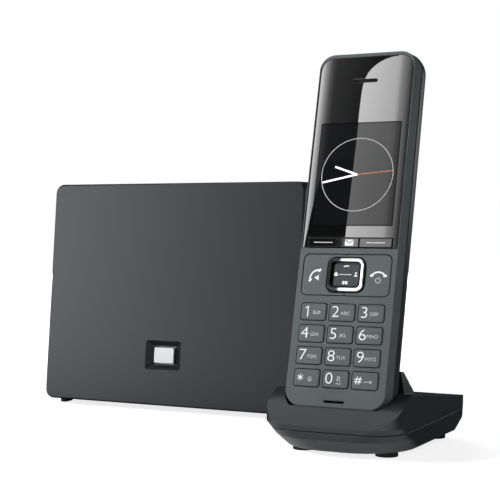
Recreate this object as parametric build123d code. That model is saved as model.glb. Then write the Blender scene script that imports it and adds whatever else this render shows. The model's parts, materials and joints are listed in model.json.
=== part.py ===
"""Cordless phone set: a handset in its charging cradle, and a separate base station.

World frame: X to the right as seen from the front, Y to the rear, Z up, floor at Z = 0.
Handset frame: X across, Y from the front face into the phone, Z along its length.
Cradle frame: X from its middle, Y from its front edge to the rear, Z up.
Base frame: X from its left side, Y from its lower front edge to the rear, Z up.
"""
from build123d import *
from math import cos, radians, sin, tan
import os

# ---------------------------------------------------------------- driving dimensions
# Handset, outside
HANDSET_LENGTH = 147.5
FACE_HALF_WIDTH = 20.7
SHELL_HALF_WIDTH = 22.2
BELLY_HALF_WIDTH = 22.5
BACK_HALF_WIDTH = 15.0
FACE_END_MARGIN = 0.7
BACK_TOP_MARGIN = 5.0
BACK_BOTTOM_MARGIN = 3.0
FRONT_SHELL_DEPTH = 4.4
BELLY_DEPTH = 9.8
HANDSET_THICKNESS = 25.0
CORNER_RADIUS = 8.0
FACE_CORNER_RADIUS = 6.4
BELLY_CORNER_RADIUS = 8.0
BELLY_EDGE_RADIUS = 10.0
BACK_CORNER_RADIUS = 7.0
BACK_EDGE_RADIUS = 3.4
FOOT_SLOPE_START = 9.0
FOOT_SLOPE_RISE = 6.5
SHELL_SEAM = 0.3
FACE_WALL = 1.9
SIDE_WALL = 1.8
RIM_WALL = 1.4
BACK_WALL = 1.7

# Handset, front face, from the top downwards; heights and steps are shares of the length
LENS_TOP_MARGIN = 2.2
LENS_HALF_WIDTH = 20.2
LENS_THICKNESS = 1.0
LENS_CORNER_RADIUS = 5.8
DISPLAY_DROP = 0.1925 * HANDSET_LENGTH
DISPLAY_WIDTH = 34.8
DISPLAY_HEIGHT = 0.2956 * HANDSET_LENGTH
DISPLAY_DEPTH = 3.2
EARPIECE_DROP = 0.0712 * HANDSET_LENGTH
EARPIECE_SLOT_WIDTH = 10.6
EARPIECE_SLOT_HEIGHT = 1.5
SOFT_KEY_DROP = 0.0339 * HANDSET_LENGTH
SOFT_KEY_HEIGHT = 0.0251 * HANDSET_LENGTH
SOFT_KEY_WIDTHS = (13.6, 8.0, 13.6)
PANEL_DROP = 0.0183 * HANDSET_LENGTH
PANEL_HALF_WIDTH = 18.5
PANEL_HEIGHT = 0.1125 * HANDSET_LENGTH
PANEL_CORNER_RADIUS = 2.2
RING_WIDTH = 15.3
RING_HEIGHT = 0.0915 * HANDSET_LENGTH
RING_CORNER_RADIUS = 3.2
RING_BAND = 1.3
PAD_GAP = 0.9
KEYPAD_DROP = 0.0237 * HANDSET_LENGTH
KEY_WIDTH = 10.6
KEY_HEIGHT = 0.0454 * HANDSET_LENGTH
KEY_COLUMN_PITCH = 12.1
KEY_ROW_PITCH = 0.0597 * HANDSET_LENGTH
KEY_CORNER_RADIUS = 0.9
MICROPHONE_DROP = 0.0373 * HANDSET_LENGTH
MICROPHONE_SLOT_WIDTH = 8.6
MICROPHONE_SLOT_HEIGHT = 1.0
MICROPHONE_CAPSULE_RAISE = 2.0

# Handset, how keys stand and travel
KEY_GAP = 0.3
KEY_PROUD = 0.45
KEY_TRAVEL = 0.6
KEY_FLANGE = 0.5
KEY_FLANGE_THICKNESS = 0.5
KEY_SEAT_GAP = 0.1
MAT_THICKNESS = 0.8
RING_PROUD = 0.9
RING_TILT = 3.0
PAD_DEPTH_BELOW_FACE = 0.2

# Handset, inside
BOARD_GAP = 0.3
BOARD_THICKNESS = 1.0
BOARD_HALF_WIDTH = 17.5
BOARD_BOTTOM_MARGIN = 7.5
BOARD_TOP_MARGIN = 19.5
BATTERY_DIAMETER = 10.5
BATTERY_LENGTH = 44.5
BATTERY_NUB_DIAMETER = 3.6
BATTERY_NUB_LENGTH = 1.0
BATTERY_SPACING = 11.2
BATTERY_START_MARGIN = 9.0
BATTERY_AXIS_DEPTH = 16.6
BATTERY_END_SPACE = 2.2
COVER_HALF_WIDTH = 13.4
COVER_TOP_DROP = 0.332 * HANDSET_LENGTH
COVER_LENGTH = 65.0
COVER_CORNER_RADIUS = 4.0
COVER_GAP = 0.25
COVER_LIFT = 30.0
SPEAKER_DIAMETER = 13.0
SPEAKER_THICKNESS = 3.0
RINGER_DIAMETER = 17.0
RINGER_THICKNESS = 4.0
RINGER_DROP = 0.195 * HANDSET_LENGTH
RINGER_SLOT_WIDTH = 10.0
RINGER_SLOT_HEIGHT = 1.2
RINGER_SLOT_COUNT = 4
RINGER_SLOT_PITCH = 2.6
MIC_CAPSULE_DIAMETER = 4.0
MIC_CAPSULE_THICKNESS = 1.5
CHARGE_PAD_WIDTH = 5.0
CHARGE_PAD_LENGTH = 6.0
CHARGE_PAD_THICKNESS = 0.6
CHARGE_PAD_MIDDLE = 12.0
CHARGE_PAD_SPACING = 17.0
HANDSET_SCREW_HEAD = 4.0
HANDSET_SCREW_HEAD_THICKNESS = 1.4
HANDSET_SCREW_SHANK = 1.8
HANDSET_SCREW_SUNK = 3.0

# Cradle
CRADLE_WIDTH = 60.0
CRADLE_FRONT_WIDTH = 56.0
CRADLE_DEPTH = 86.0
CRADLE_FRONT_RADIUS = 10.0
CRADLE_REAR_RADIUS = 3.0
CRADLE_BILGE_Z = 7.5
CRADLE_BILGE_INSET = 0.6
CRADLE_BILGE_FRONT = 1.2
CRADLE_BILGE_RADIUS = 19.0
CRADLE_KEEL_INSET = 2.4
CRADLE_KEEL_FRONT = 7.0
CRADLE_KEEL_RADIUS = 22.0
CRADLE_HEEL_LENGTH = 10.0
CRADLE_UNDERSIDE = 2.3
CRADLE_PARTING = 10.8
CRADLE_LIP = 13.0
CRADLE_REAR_CORNER = 8.4
BROW_Y = 19.5
BROW_Z = 24.6
LIP_CURVE_Y = 7.8
LIP_CURVE_Z = 19.6
DECK_REAR_Z = 16.0
CRADLE_WALL = 1.8
CRADLE_SEAM = 0.3
SEAT_Y = 7.7
SEAT_Z = 18.6
HANDSET_TILT = 15.1
SEAT_CLEARANCE = 0.4
HANDSET_LIFT = 80.0
BACKREST_TOP_HALF_WIDTH = 17.5
BACKREST_BOTTOM_HALF_WIDTH = 20.5
BACKREST_TOP_Z = 30.5
BACKREST_TOP_LENGTH = 3.5
BACKREST_FOOT_LENGTH = 15.0
CONTACT_SLOT_GAP = 0.4
CONTACT_STANDOFF = 0.3
CONTACT_WIDTH = 2.4
CONTACT_LENGTH = 3.6
CONTACT_TRAVEL = 0.8
CONTACT_HEIGHT = 1.8
CARRIER_THICKNESS = 0.8
CARRIER_WIDTH = 26.0
CARRIER_LENGTH = 5.0
CRADLE_FOOT_DIAMETER = 9.0
CRADLE_FRONT_FOOT_X = 17.5
CRADLE_REAR_FOOT_X = 22.0
CRADLE_FRONT_FOOT_Y = 20.5
CRADLE_REAR_FOOT_Y = 68.0
CRADLE_SCREW_HEAD = 5.0
CRADLE_SCREW_HEAD_THICKNESS = 1.6
CRADLE_SCREW_SHANK = 2.2
CRADLE_SCREW_LENGTH = 6.0
CRADLE_SCREW_SUNK = 0.6
CRADLE_SCREW_Y = 40.0
CRADLE_SCREW_X = 21.0
INLET_WIDTH = 10.0
INLET_HEIGHT = 7.0
INLET_DEPTH = 10.0
INLET_MOUTH_WIDTH = 7.0
INLET_MOUTH_HEIGHT = 4.6
INLET_MOUTH_DEPTH = 8.0

# Base station
BASE_WIDTH = 137.0
BASE_HEIGHT = 106.5
BASE_LEAN = 5.74
BASE_UNDERSIDE = 3.0
BASE_BOTTOM_DEPTH = 45.0
BASE_TOP_DEPTH = 16.0
BASE_REAR_WALL_HEIGHT = 26.0
BASE_CORNER_RADIUS = 4.5
BASE_FRONT_CHAMFER = 0.7
BASE_WALL = 2.2
BASE_COVER_DEPTH = 4.2
BASE_SEAM = 0.3
POCKET_LEFT = 57.0
POCKET_BOTTOM = 17.0
POCKET_WIDTH = 19.3
POCKET_HEIGHT = 14.0
POCKET_DEPTH = 2.6
POCKET_CORNER_RADIUS = 1.2
POCKET_RIM = 2.0
PAGE_KEY_WIDTH = 11.0
PAGE_KEY_HEIGHT = 7.8
PAGE_KEY_GAP = 0.35
PAGE_KEY_SUNK = 0.9
PAGE_KEY_THICKNESS = 3.6
PAGE_KEY_TRAVEL = 0.8
PAGE_KEY_FLANGE = 1.0
PAGE_SWITCH_SIZE = 6.0
BASE_BOARD_DEPTH = 10.0
BASE_BOARD_THICKNESS = 1.6
BASE_BOARD_MARGIN = 8.0
BASE_BOARD_TOP_MARGIN = 12.0
BASE_BOARD_BOTTOM = 8.0
SOCKET_BOARD_HEIGHT = 4.0
SOCKET_BOARD_THICKNESS = 1.6
SOCKET_BOARD_DEPTH = 22.0
SOCKET_BOARD_LEFT = 22.0
SOCKET_BOARD_RIGHT = 114.0
LAN_X = 96.0
PHONE_X = 68.0
POWER_X = 40.0
LAN_SIZE = (16.0, 16.0, 13.6)
LAN_MOUTH = (11.9, 11.5, 8.2)
PHONE_SIZE = (13.2, 14.0, 11.6)
PHONE_MOUTH = (9.8, 10.0, 6.8)
POWER_SIZE = (11.4, 14.0, 11.0)
POWER_MOUTH = (7.8, 10.0, 6.4)
SOCKET_GAP = 0.3
BASE_SCREW_INSET_X = 9.0
BASE_SCREW_LOW = 13.0
BASE_SCREW_HIGH = 86.0
BASE_BOSS_DIAMETER = 7.4
BASE_SCREW_HEAD = 5.0
BASE_SCREW_HEAD_THICKNESS = 1.8
BASE_SCREW_SHANK = 2.4
BASE_SCREW_LENGTH = 12.0
BASE_SCREW_SUNK = 5.0
BASE_FOOT_WIDTH = 3.6
BASE_FOOT_LENGTH = 7.0
BASE_FOOT_INSET_X = 5.0
BASE_FRONT_FOOT_Y = 12.0
BASE_REAR_FOOT_Y = 39.0
ANTENNA_WIDTH = 22.0
ANTENNA_HEIGHT = 9.0
ANTENNA_THICKNESS = 0.8
ANTENNA_INSET = 26.0
ANTENNA_STANDOFF = 3.0
ANTENNA_POST = 1.6
VENT_COUNT = 9
VENT_PITCH = 5.0
VENT_WIDTH = 1.6
VENT_HEIGHT = 20.0
VENT_BOTTOM = 62.0

# How the set stands
SET_GAP = 15.6
CRADLE_FORWARD = 76.0

# ---------------------------------------------------------------- derived places
LENS_TOP = HANDSET_LENGTH - LENS_TOP_MARGIN
DISPLAY_TOP = LENS_TOP - DISPLAY_DROP
DISPLAY_BOTTOM = DISPLAY_TOP - DISPLAY_HEIGHT
SOFT_KEY_TOP = DISPLAY_BOTTOM - SOFT_KEY_DROP
LENS_BOTTOM = SOFT_KEY_TOP - SOFT_KEY_HEIGHT - KEY_GAP
PANEL_TOP = LENS_BOTTOM - PANEL_DROP
PANEL_MIDDLE = PANEL_TOP - PANEL_HEIGHT / 2
KEYPAD_TOP = PANEL_TOP - PANEL_HEIGHT - KEYPAD_DROP
MICROPHONE_Z = KEYPAD_TOP - 3 * KEY_ROW_PITCH - KEY_HEIGHT - MICROPHONE_DROP
REAR_SHELL_START = FRONT_SHELL_DEPTH + SHELL_SEAM
COVER_END = HANDSET_LENGTH - COVER_TOP_DROP
COVER_START = COVER_END - COVER_LENGTH
BATTERY_START = COVER_START + BATTERY_START_MARGIN
RINGER_Z = HANDSET_LENGTH - RINGER_DROP
FLANGE_TOP = FACE_WALL + KEY_SEAT_GAP
KEY_BOTTOM = FLANGE_TOP + KEY_FLANGE_THICKNESS
MAT_TOP = KEY_BOTTOM + KEY_TRAVEL + KEY_SEAT_GAP
BOARD_TOP = MAT_TOP + MAT_THICKNESS + BOARD_GAP
BOARD_BOTTOM = BOARD_TOP + BOARD_THICKNESS
COVER_INNER_DEPTH = HANDSET_THICKNESS - BACK_WALL
HANDSET_SCREW_TOP = COVER_INNER_DEPTH - HANDSET_SCREW_SUNK

HANDSET_PLACE = Pos(0, SEAT_Y, SEAT_Z) * Rot(-HANDSET_TILT, 0, 0)
CRADLE_PLACE = Pos(BASE_WIDTH + SET_GAP + CRADLE_WIDTH / 2, -CRADLE_FORWARD, 0)
PANEL_PLACE = Pos(0, 0, BASE_UNDERSIDE) * Rot(-BASE_LEAN, 0, 0)

KEY_NAMES = (
    ("key_1", "key_2", "key_3"),
    ("key_4", "key_5", "key_6"),
    ("key_7", "key_8", "key_9"),
    ("key_star", "key_0", "key_hash"),
)


# ---------------------------------------------------------------- shared helpers
def face_outline(width, height, radius, x, z, depth):
    """Rounded rectangle that faces the front, centred at x, z, at a depth from the face."""
    radius = min(radius, width / 2 - 0.05, height / 2 - 0.05)
    return Plane.XZ.offset(-depth) * Pos(x, z) * RectangleRounded(width, height, radius)


def face_plate(width, height, radius, x, z, front, rear):
    """Plate with rounded corners between two depths."""
    return extrude(face_outline(width, height, radius, x, z, front), front - rear)


def face_loft(front_outline, rear_outline):
    """Solid with straight flanks between two outlines."""
    return loft([front_outline, rear_outline], ruled=True)


def rod(diameter, x, z, front, rear):
    """Cylinder along the depth axis."""
    return extrude(Plane.XZ.offset(-front) * Pos(x, z) * Circle(diameter / 2), front - rear)


def span_block(x_low, x_high, y_low, y_high, z_low, z_high):
    """Box between six planes."""
    middle = Pos((x_low + x_high) / 2, (y_low + y_high) / 2, (z_low + z_high) / 2)
    return middle * Box(x_high - x_low, y_high - y_low, z_high - z_low)


def group(pieces):
    """One node made of separate solids."""
    return Compound([solid for piece in pieces for solid in piece.solids()])


# ---------------------------------------------------------------- handset shells
def handset_section(depth, half_width, low, high, radius, inset=0.0):
    """Outline of the handset at a depth, drawn in by inset all round."""
    width = 2 * (half_width - inset)
    height = high - low - 2 * inset
    return face_outline(width, height, max(radius - inset, 0.8), 0, (low + high) / 2, depth)


def front_volume(inset=0.0, front=0.0):
    """Body of the front shell, from its face to its rim."""
    face = handset_section(
        front, FACE_HALF_WIDTH, FACE_END_MARGIN, HANDSET_LENGTH - FACE_END_MARGIN, FACE_CORNER_RADIUS, inset
    )
    rim = handset_section(FRONT_SHELL_DEPTH, SHELL_HALF_WIDTH, 0, HANDSET_LENGTH, CORNER_RADIUS, inset)
    return face_loft(face, rim)


def foot_slope(lift=0.0):
    """Everything below the sloping lower back, where the charging contacts sit."""
    rise = FOOT_SLOPE_RISE / (HANDSET_THICKNESS - FOOT_SLOPE_START)
    far = HANDSET_THICKNESS + 10
    side = make_face(Polyline(
        (FOOT_SLOPE_START, -20),
        (far, -20),
        (far, lift + rise * (far - FOOT_SLOPE_START)),
        (FOOT_SLOPE_START, lift),
        close=True,
    ).edges())
    return extrude(Plane.YZ.offset(-40) * side, 80)


def rear_volume(inset=0.0, rear=HANDSET_THICKNESS, start=REAR_SHELL_START):
    """Body of the rear shell: full as far as the belly, tapering to the back, cut by the sloping foot."""
    rim = handset_section(start, BELLY_HALF_WIDTH, 0, HANDSET_LENGTH, BELLY_CORNER_RADIUS, inset)
    belly = handset_section(BELLY_DEPTH, BELLY_HALF_WIDTH, 0, HANDSET_LENGTH, BELLY_CORNER_RADIUS, inset)
    back = handset_section(
        rear, BACK_HALF_WIDTH, BACK_BOTTOM_MARGIN, HANDSET_LENGTH - BACK_TOP_MARGIN, BACK_CORNER_RADIUS, inset
    )
    body = face_loft(rim, belly) + face_loft(belly, back)
    belly_edges = body.edges().filter_by_position(Axis.Y, BELLY_DEPTH - 0.01, BELLY_DEPTH + 0.01)
    body = fillet(belly_edges, BELLY_EDGE_RADIUS)
    back_edges = body.faces().sort_by(Axis.Y)[-1].edges()
    body = fillet(back_edges, max(BACK_EDGE_RADIUS - inset, 0.8))
    return body - foot_slope(inset)


def cover_region(gap, front):
    """Prism through the back that bounds the battery cover."""
    return face_plate(
        2 * (COVER_HALF_WIDTH + gap),
        COVER_END - COVER_START + 2 * gap,
        COVER_CORNER_RADIUS + gap,
        0,
        (COVER_START + COVER_END) / 2,
        front,
        HANDSET_THICKNESS + 5,
    )


def ringer_slots():
    """Row of sound slots through the upper back."""
    slots = []
    first = RINGER_Z - RINGER_SLOT_PITCH * (RINGER_SLOT_COUNT - 1) / 2
    for number in range(RINGER_SLOT_COUNT):
        z = first + number * RINGER_SLOT_PITCH
        slots.append(face_plate(
            RINGER_SLOT_WIDTH, RINGER_SLOT_HEIGHT, RINGER_SLOT_HEIGHT / 2, 0, z,
            COVER_INNER_DEPTH - 2, HANDSET_THICKNESS + 2,
        ))
    return slots


def handset_screw_places():
    """Two screws below the battery cover and two above it."""
    low = COVER_START - 6.5
    high = COVER_END + 7.0
    return [(-9.5, low), (9.5, low), (-9.5, high), (9.5, high)]


def make_rear_shell(hollow):
    """Rear half shell with its battery bay, sound slots and screw bosses."""
    outer = rear_volume()
    shell = outer - hollow
    shell = shell - cover_region(COVER_GAP, COVER_INNER_DEPTH - COVER_GAP)
    bay_length = BATTERY_LENGTH + BATTERY_NUB_LENGTH + 2 * BATTERY_END_SPACE
    bay_middle = BATTERY_START + (BATTERY_LENGTH + BATTERY_NUB_LENGTH) / 2
    bay_width = BATTERY_SPACING + BATTERY_DIAMETER + 0.8
    bay_front = BATTERY_AXIS_DEPTH - BATTERY_DIAMETER / 2 - 0.3
    bay_rear = COVER_INNER_DEPTH - 0.3
    wall = 1.0
    bay = face_plate(bay_width + 2 * wall, bay_length + 2 * wall, 1.2, 0, bay_middle, bay_front - wall, bay_rear)
    well = face_plate(bay_width, bay_length, 0.6, 0, bay_middle, bay_front, bay_rear + 5)
    ledge = face_plate(
        2 * COVER_HALF_WIDTH + 3, COVER_END - COVER_START + 3, COVER_CORNER_RADIUS, 0,
        (COVER_START + COVER_END) / 2, bay_rear - 1.4, bay_rear,
    )
    shell = shell + (bay & outer) + (ledge & outer) - well
    for slot in ringer_slots():
        shell = shell - slot
    for x, z in handset_screw_places():
        boss = rod(HANDSET_SCREW_HEAD + 2.0, x, z, BOARD_BOTTOM + 0.3, HANDSET_THICKNESS) & outer
        head_way = rod(HANDSET_SCREW_HEAD + 0.3, x, z, HANDSET_SCREW_TOP, HANDSET_THICKNESS + 2)
        shank_way = rod(HANDSET_SCREW_SHANK + 0.2, x, z, BOARD_BOTTOM, HANDSET_THICKNESS)
        shell = shell + boss - head_way - shank_way
    return shell


def make_handset_screws():
    """Countersunk screws that hold the two shells together."""
    screws = []
    for x, z in handset_screw_places():
        head_rear = HANDSET_SCREW_TOP + HANDSET_SCREW_HEAD_THICKNESS
        head = rod(HANDSET_SCREW_HEAD, x, z, HANDSET_SCREW_TOP, head_rear)
        shank = rod(HANDSET_SCREW_SHANK, x, z, BOARD_BOTTOM + 0.3, HANDSET_SCREW_TOP)
        slot_width = HANDSET_SCREW_HEAD / 2
        recess = face_plate(slot_width, slot_width / 4, 0.1, x, z, head_rear - 0.5, COVER_INNER_DEPTH)
        screws.append(head + shank - recess)
    return group(screws)


def key_opening(width, height, radius, x, z):
    """Hole through the face for a key, with its running gap."""
    return face_plate(width + 2 * KEY_GAP, height + 2 * KEY_GAP, radius + KEY_GAP, x, z, -1, FACE_WALL + 1)


def key_centres():
    """Name and centre of each key of the number block."""
    places = []
    for row, names in enumerate(KEY_NAMES):
        z = KEYPAD_TOP - KEY_HEIGHT / 2 - row * KEY_ROW_PITCH
        for column, name in enumerate(names):
            places.append((name, (column - 1) * KEY_COLUMN_PITCH, z))
    return places


def soft_key_centres():
    """Name, centre and width of the three keys under the display."""
    left_width, middle_width, right_width = SOFT_KEY_WIDTHS
    step = middle_width / 2 + KEY_GAP
    return [
        ("left_display_key", -(step + left_width / 2), left_width),
        ("message_key", 0.0, middle_width),
        ("right_display_key", step + right_width / 2, right_width),
    ]


def lens_outline_solid(clearance, front, rear):
    """Lens shape with a notch for the display keys, grown by a clearance."""
    height = LENS_TOP - LENS_BOTTOM
    plate = face_plate(
        2 * (LENS_HALF_WIDTH + clearance), height + 2 * clearance, LENS_CORNER_RADIUS + clearance, 0,
        (LENS_TOP + LENS_BOTTOM) / 2, front, rear,
    )
    corner = LENS_CORNER_RADIUS + clearance
    low = LENS_BOTTOM - clearance
    square_end = span_block(
        -LENS_HALF_WIDTH - clearance, LENS_HALF_WIDTH + clearance, front, rear, low, low + corner + 1
    )
    return plate + square_end


def soft_key_band(clearance, front, rear):
    """Strip that the three display keys fill."""
    half = SOFT_KEY_WIDTHS[1] / 2 + KEY_GAP + SOFT_KEY_WIDTHS[0] + clearance
    low = SOFT_KEY_TOP - SOFT_KEY_HEIGHT - clearance
    return span_block(-half, half, front, rear, low, SOFT_KEY_TOP + clearance)


def earpiece_slot(front, rear):
    """Slot that the caller's voice comes out of."""
    z = LENS_TOP - EARPIECE_DROP
    return face_plate(EARPIECE_SLOT_WIDTH, EARPIECE_SLOT_HEIGHT, EARPIECE_SLOT_HEIGHT / 2, 0, z, front, rear)


def make_front_shell():
    """Front half shell with its lens bed, key holes and sound slots."""
    shell = front_volume() - front_volume(RIM_WALL, FACE_WALL)
    shell = shell - lens_outline_solid(0.15, -1, LENS_THICKNESS + 0.05)
    shell = shell - face_plate(
        DISPLAY_WIDTH + 0.6, DISPLAY_HEIGHT + 0.6, 0.5, 0, DISPLAY_BOTTOM + DISPLAY_HEIGHT / 2, -1, FACE_WALL + 1
    )
    shell = shell - soft_key_band(KEY_GAP, -1, FACE_WALL + 1)
    shell = shell - earpiece_slot(-1, FACE_WALL + 1)
    shell = shell - key_opening(2 * PANEL_HALF_WIDTH, PANEL_HEIGHT, PANEL_CORNER_RADIUS, 0, PANEL_MIDDLE)
    for name, x, z in key_centres():
        shell = shell - key_opening(KEY_WIDTH, KEY_HEIGHT, KEY_CORNER_RADIUS, x, z)
    shell = shell - face_plate(
        MICROPHONE_SLOT_WIDTH, MICROPHONE_SLOT_HEIGHT, MICROPHONE_SLOT_HEIGHT / 2, 0, MICROPHONE_Z, -1, FACE_WALL + 1
    )
    return shell


# ---------------------------------------------------------------- handset pieces
def make_key(width, height, radius, x, z, proud=KEY_PROUD, crown=0.35):
    """Moulded key: crowned cap, shank and a flange that stops it under the face."""
    cap = face_plate(width, height, radius, x, z, -proud, FLANGE_TOP)
    front_edges = cap.faces().sort_by(Axis.Y)[0].edges()
    cap = fillet(front_edges, min(crown, radius * 0.6, proud * 0.9))
    flange = face_plate(width + 2 * KEY_FLANGE, height + 2 * KEY_FLANGE, radius + KEY_FLANGE, x, z, FLANGE_TOP, KEY_BOTTOM)
    return cap + flange


def make_call_keys():
    """Talk and end keys: the two halves of the framed panel round the rocker."""
    ring_way = face_plate(
        RING_WIDTH + 2 * KEY_GAP + 0.6, RING_HEIGHT + 2 * KEY_GAP + 0.6, RING_CORNER_RADIUS + 0.4, 0, PANEL_MIDDLE,
        -5, KEY_BOTTOM + 1,
    )
    cap = face_plate(2 * PANEL_HALF_WIDTH, PANEL_HEIGHT, PANEL_CORNER_RADIUS, 0, PANEL_MIDDLE, 0, KEY_BOTTOM)
    front_edges = cap.faces().sort_by(Axis.Y)[0].edges()
    cap = fillet(front_edges, 0.3)
    flange = face_plate(
        2 * (PANEL_HALF_WIDTH + KEY_FLANGE), PANEL_HEIGHT + 2 * KEY_FLANGE, PANEL_CORNER_RADIUS, 0, PANEL_MIDDLE,
        FLANGE_TOP, KEY_BOTTOM,
    )
    panel = cap + flange - ring_way
    far = PANEL_HALF_WIDTH + 2
    high = PANEL_MIDDLE + PANEL_HEIGHT
    low = PANEL_MIDDLE - PANEL_HEIGHT
    left = panel & span_block(-far, -KEY_GAP / 2, -2, 10, low, high)
    right = panel & span_block(KEY_GAP / 2, far, -2, 10, low, high)
    return left, right


def make_rocker():
    """Four-way rocker: stem, chrome ring that tilts on it, and the pad inside the ring."""
    z = PANEL_MIDDLE
    inner_width = RING_WIDTH - 2 * RING_BAND
    inner_height = RING_HEIGHT - 2 * RING_BAND
    inner_radius = RING_CORNER_RADIUS - RING_BAND
    ring_bottom = FACE_WALL
    ring = face_plate(RING_WIDTH, RING_HEIGHT, RING_CORNER_RADIUS, 0, z, -RING_PROUD, ring_bottom)
    ring = fillet(ring.faces().sort_by(Axis.Y)[0].edges(), 0.5)
    ring = ring - face_plate(inner_width, inner_height, inner_radius, 0, z, -RING_PROUD - 1, ring_bottom + 1)
    pad_width = inner_width - 2 * PAD_GAP
    pad_height = inner_height - 2 * PAD_GAP
    pad_bottom = PAD_DEPTH_BELOW_FACE + 1.1
    pad = face_plate(pad_width, pad_height, 0.9, 0, z, PAD_DEPTH_BELOW_FACE, pad_bottom)
    pad = fillet(pad.faces().sort_by(Axis.Y)[0].edges(), 0.3)
    web = face_plate(inner_width + 0.2, 2.2, 0.3, 0, z, pad_bottom + 0.35, ring_bottom)
    ring = ring + web
    stem = rod(4.0, 0, z, ring_bottom + 0.35, MAT_TOP - KEY_TRAVEL - KEY_SEAT_GAP)
    return stem, ring, pad


def make_key_mat():
    """Silicone mat under all keys, with a dome below each key."""
    top = SOFT_KEY_TOP + 1.0
    low = KEYPAD_TOP - 3 * KEY_ROW_PITCH - KEY_HEIGHT - 1.5
    mat = face_plate(
        2 * (PANEL_HALF_WIDTH + 0.6), top - low, 1.5, 0, (top + low) / 2, MAT_TOP, MAT_TOP + MAT_THICKNESS
    )
    return mat


def make_battery(x):
    """AAA cell with its raised positive end."""
    cell = Pos(x, BATTERY_AXIS_DEPTH, BATTERY_START + BATTERY_LENGTH / 2) * Cylinder(BATTERY_DIAMETER / 2, BATTERY_LENGTH)
    nub_z = BATTERY_START + BATTERY_LENGTH + BATTERY_NUB_LENGTH / 2
    nub = Pos(x, BATTERY_AXIS_DEPTH, nub_z) * Cylinder(BATTERY_NUB_DIAMETER / 2, BATTERY_NUB_LENGTH)
    return cell + nub


def make_battery_contacts():
    """Nickel contact plates at both ends of each cell."""
    plates = []
    thickness = BATTERY_END_SPACE - 0.4
    low = BATTERY_START - 0.2 - thickness
    high = BATTERY_START + BATTERY_LENGTH + BATTERY_NUB_LENGTH + 0.2
    for side in (-1, 1):
        x = side * BATTERY_SPACING / 2
        for z in (low, high):
            plates.append(span_block(
                x - 3.6, x + 3.6, BATTERY_AXIS_DEPTH - 4, BATTERY_AXIS_DEPTH + 4, z, z + thickness
            ))
    return group(plates)


def make_battery_cover():
    """Cover of the battery bay, with a finger notch at its upper end."""
    cover = rear_volume() & cover_region(0, COVER_INNER_DEPTH)
    notch = Pos(0, HANDSET_THICKNESS + 3.2, COVER_END - 3.5) * Rot(0, 90, 0) * Cylinder(4.0, 9.0)
    return cover - notch


def slope_frame(distance_along, lift):
    """Location on the sloping foot, Z outwards, measured from where the slope starts."""
    run = HANDSET_THICKNESS - FOOT_SLOPE_START
    angle = Vector(run, FOOT_SLOPE_RISE, 0).get_signed_angle(Vector(1, 0, 0))
    pitch = radians(abs(angle))
    y = FOOT_SLOPE_START + distance_along * cos(pitch) + lift * sin(pitch)
    z = distance_along * sin(pitch) - lift * cos(pitch)
    return Pos(0, y, z) * Rot(abs(angle) + 180, 0, 0)


def make_charge_pads():
    """Two charging pads set flush in the sloping foot."""
    pads = []
    place = slope_frame(CHARGE_PAD_MIDDLE, -CHARGE_PAD_THICKNESS / 2)
    for side in (-1, 1):
        pads.append(place * Pos(side * CHARGE_PAD_SPACING / 2, 0, 0) * Box(
            CHARGE_PAD_WIDTH, CHARGE_PAD_LENGTH, CHARGE_PAD_THICKNESS
        ))
    return pads


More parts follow.
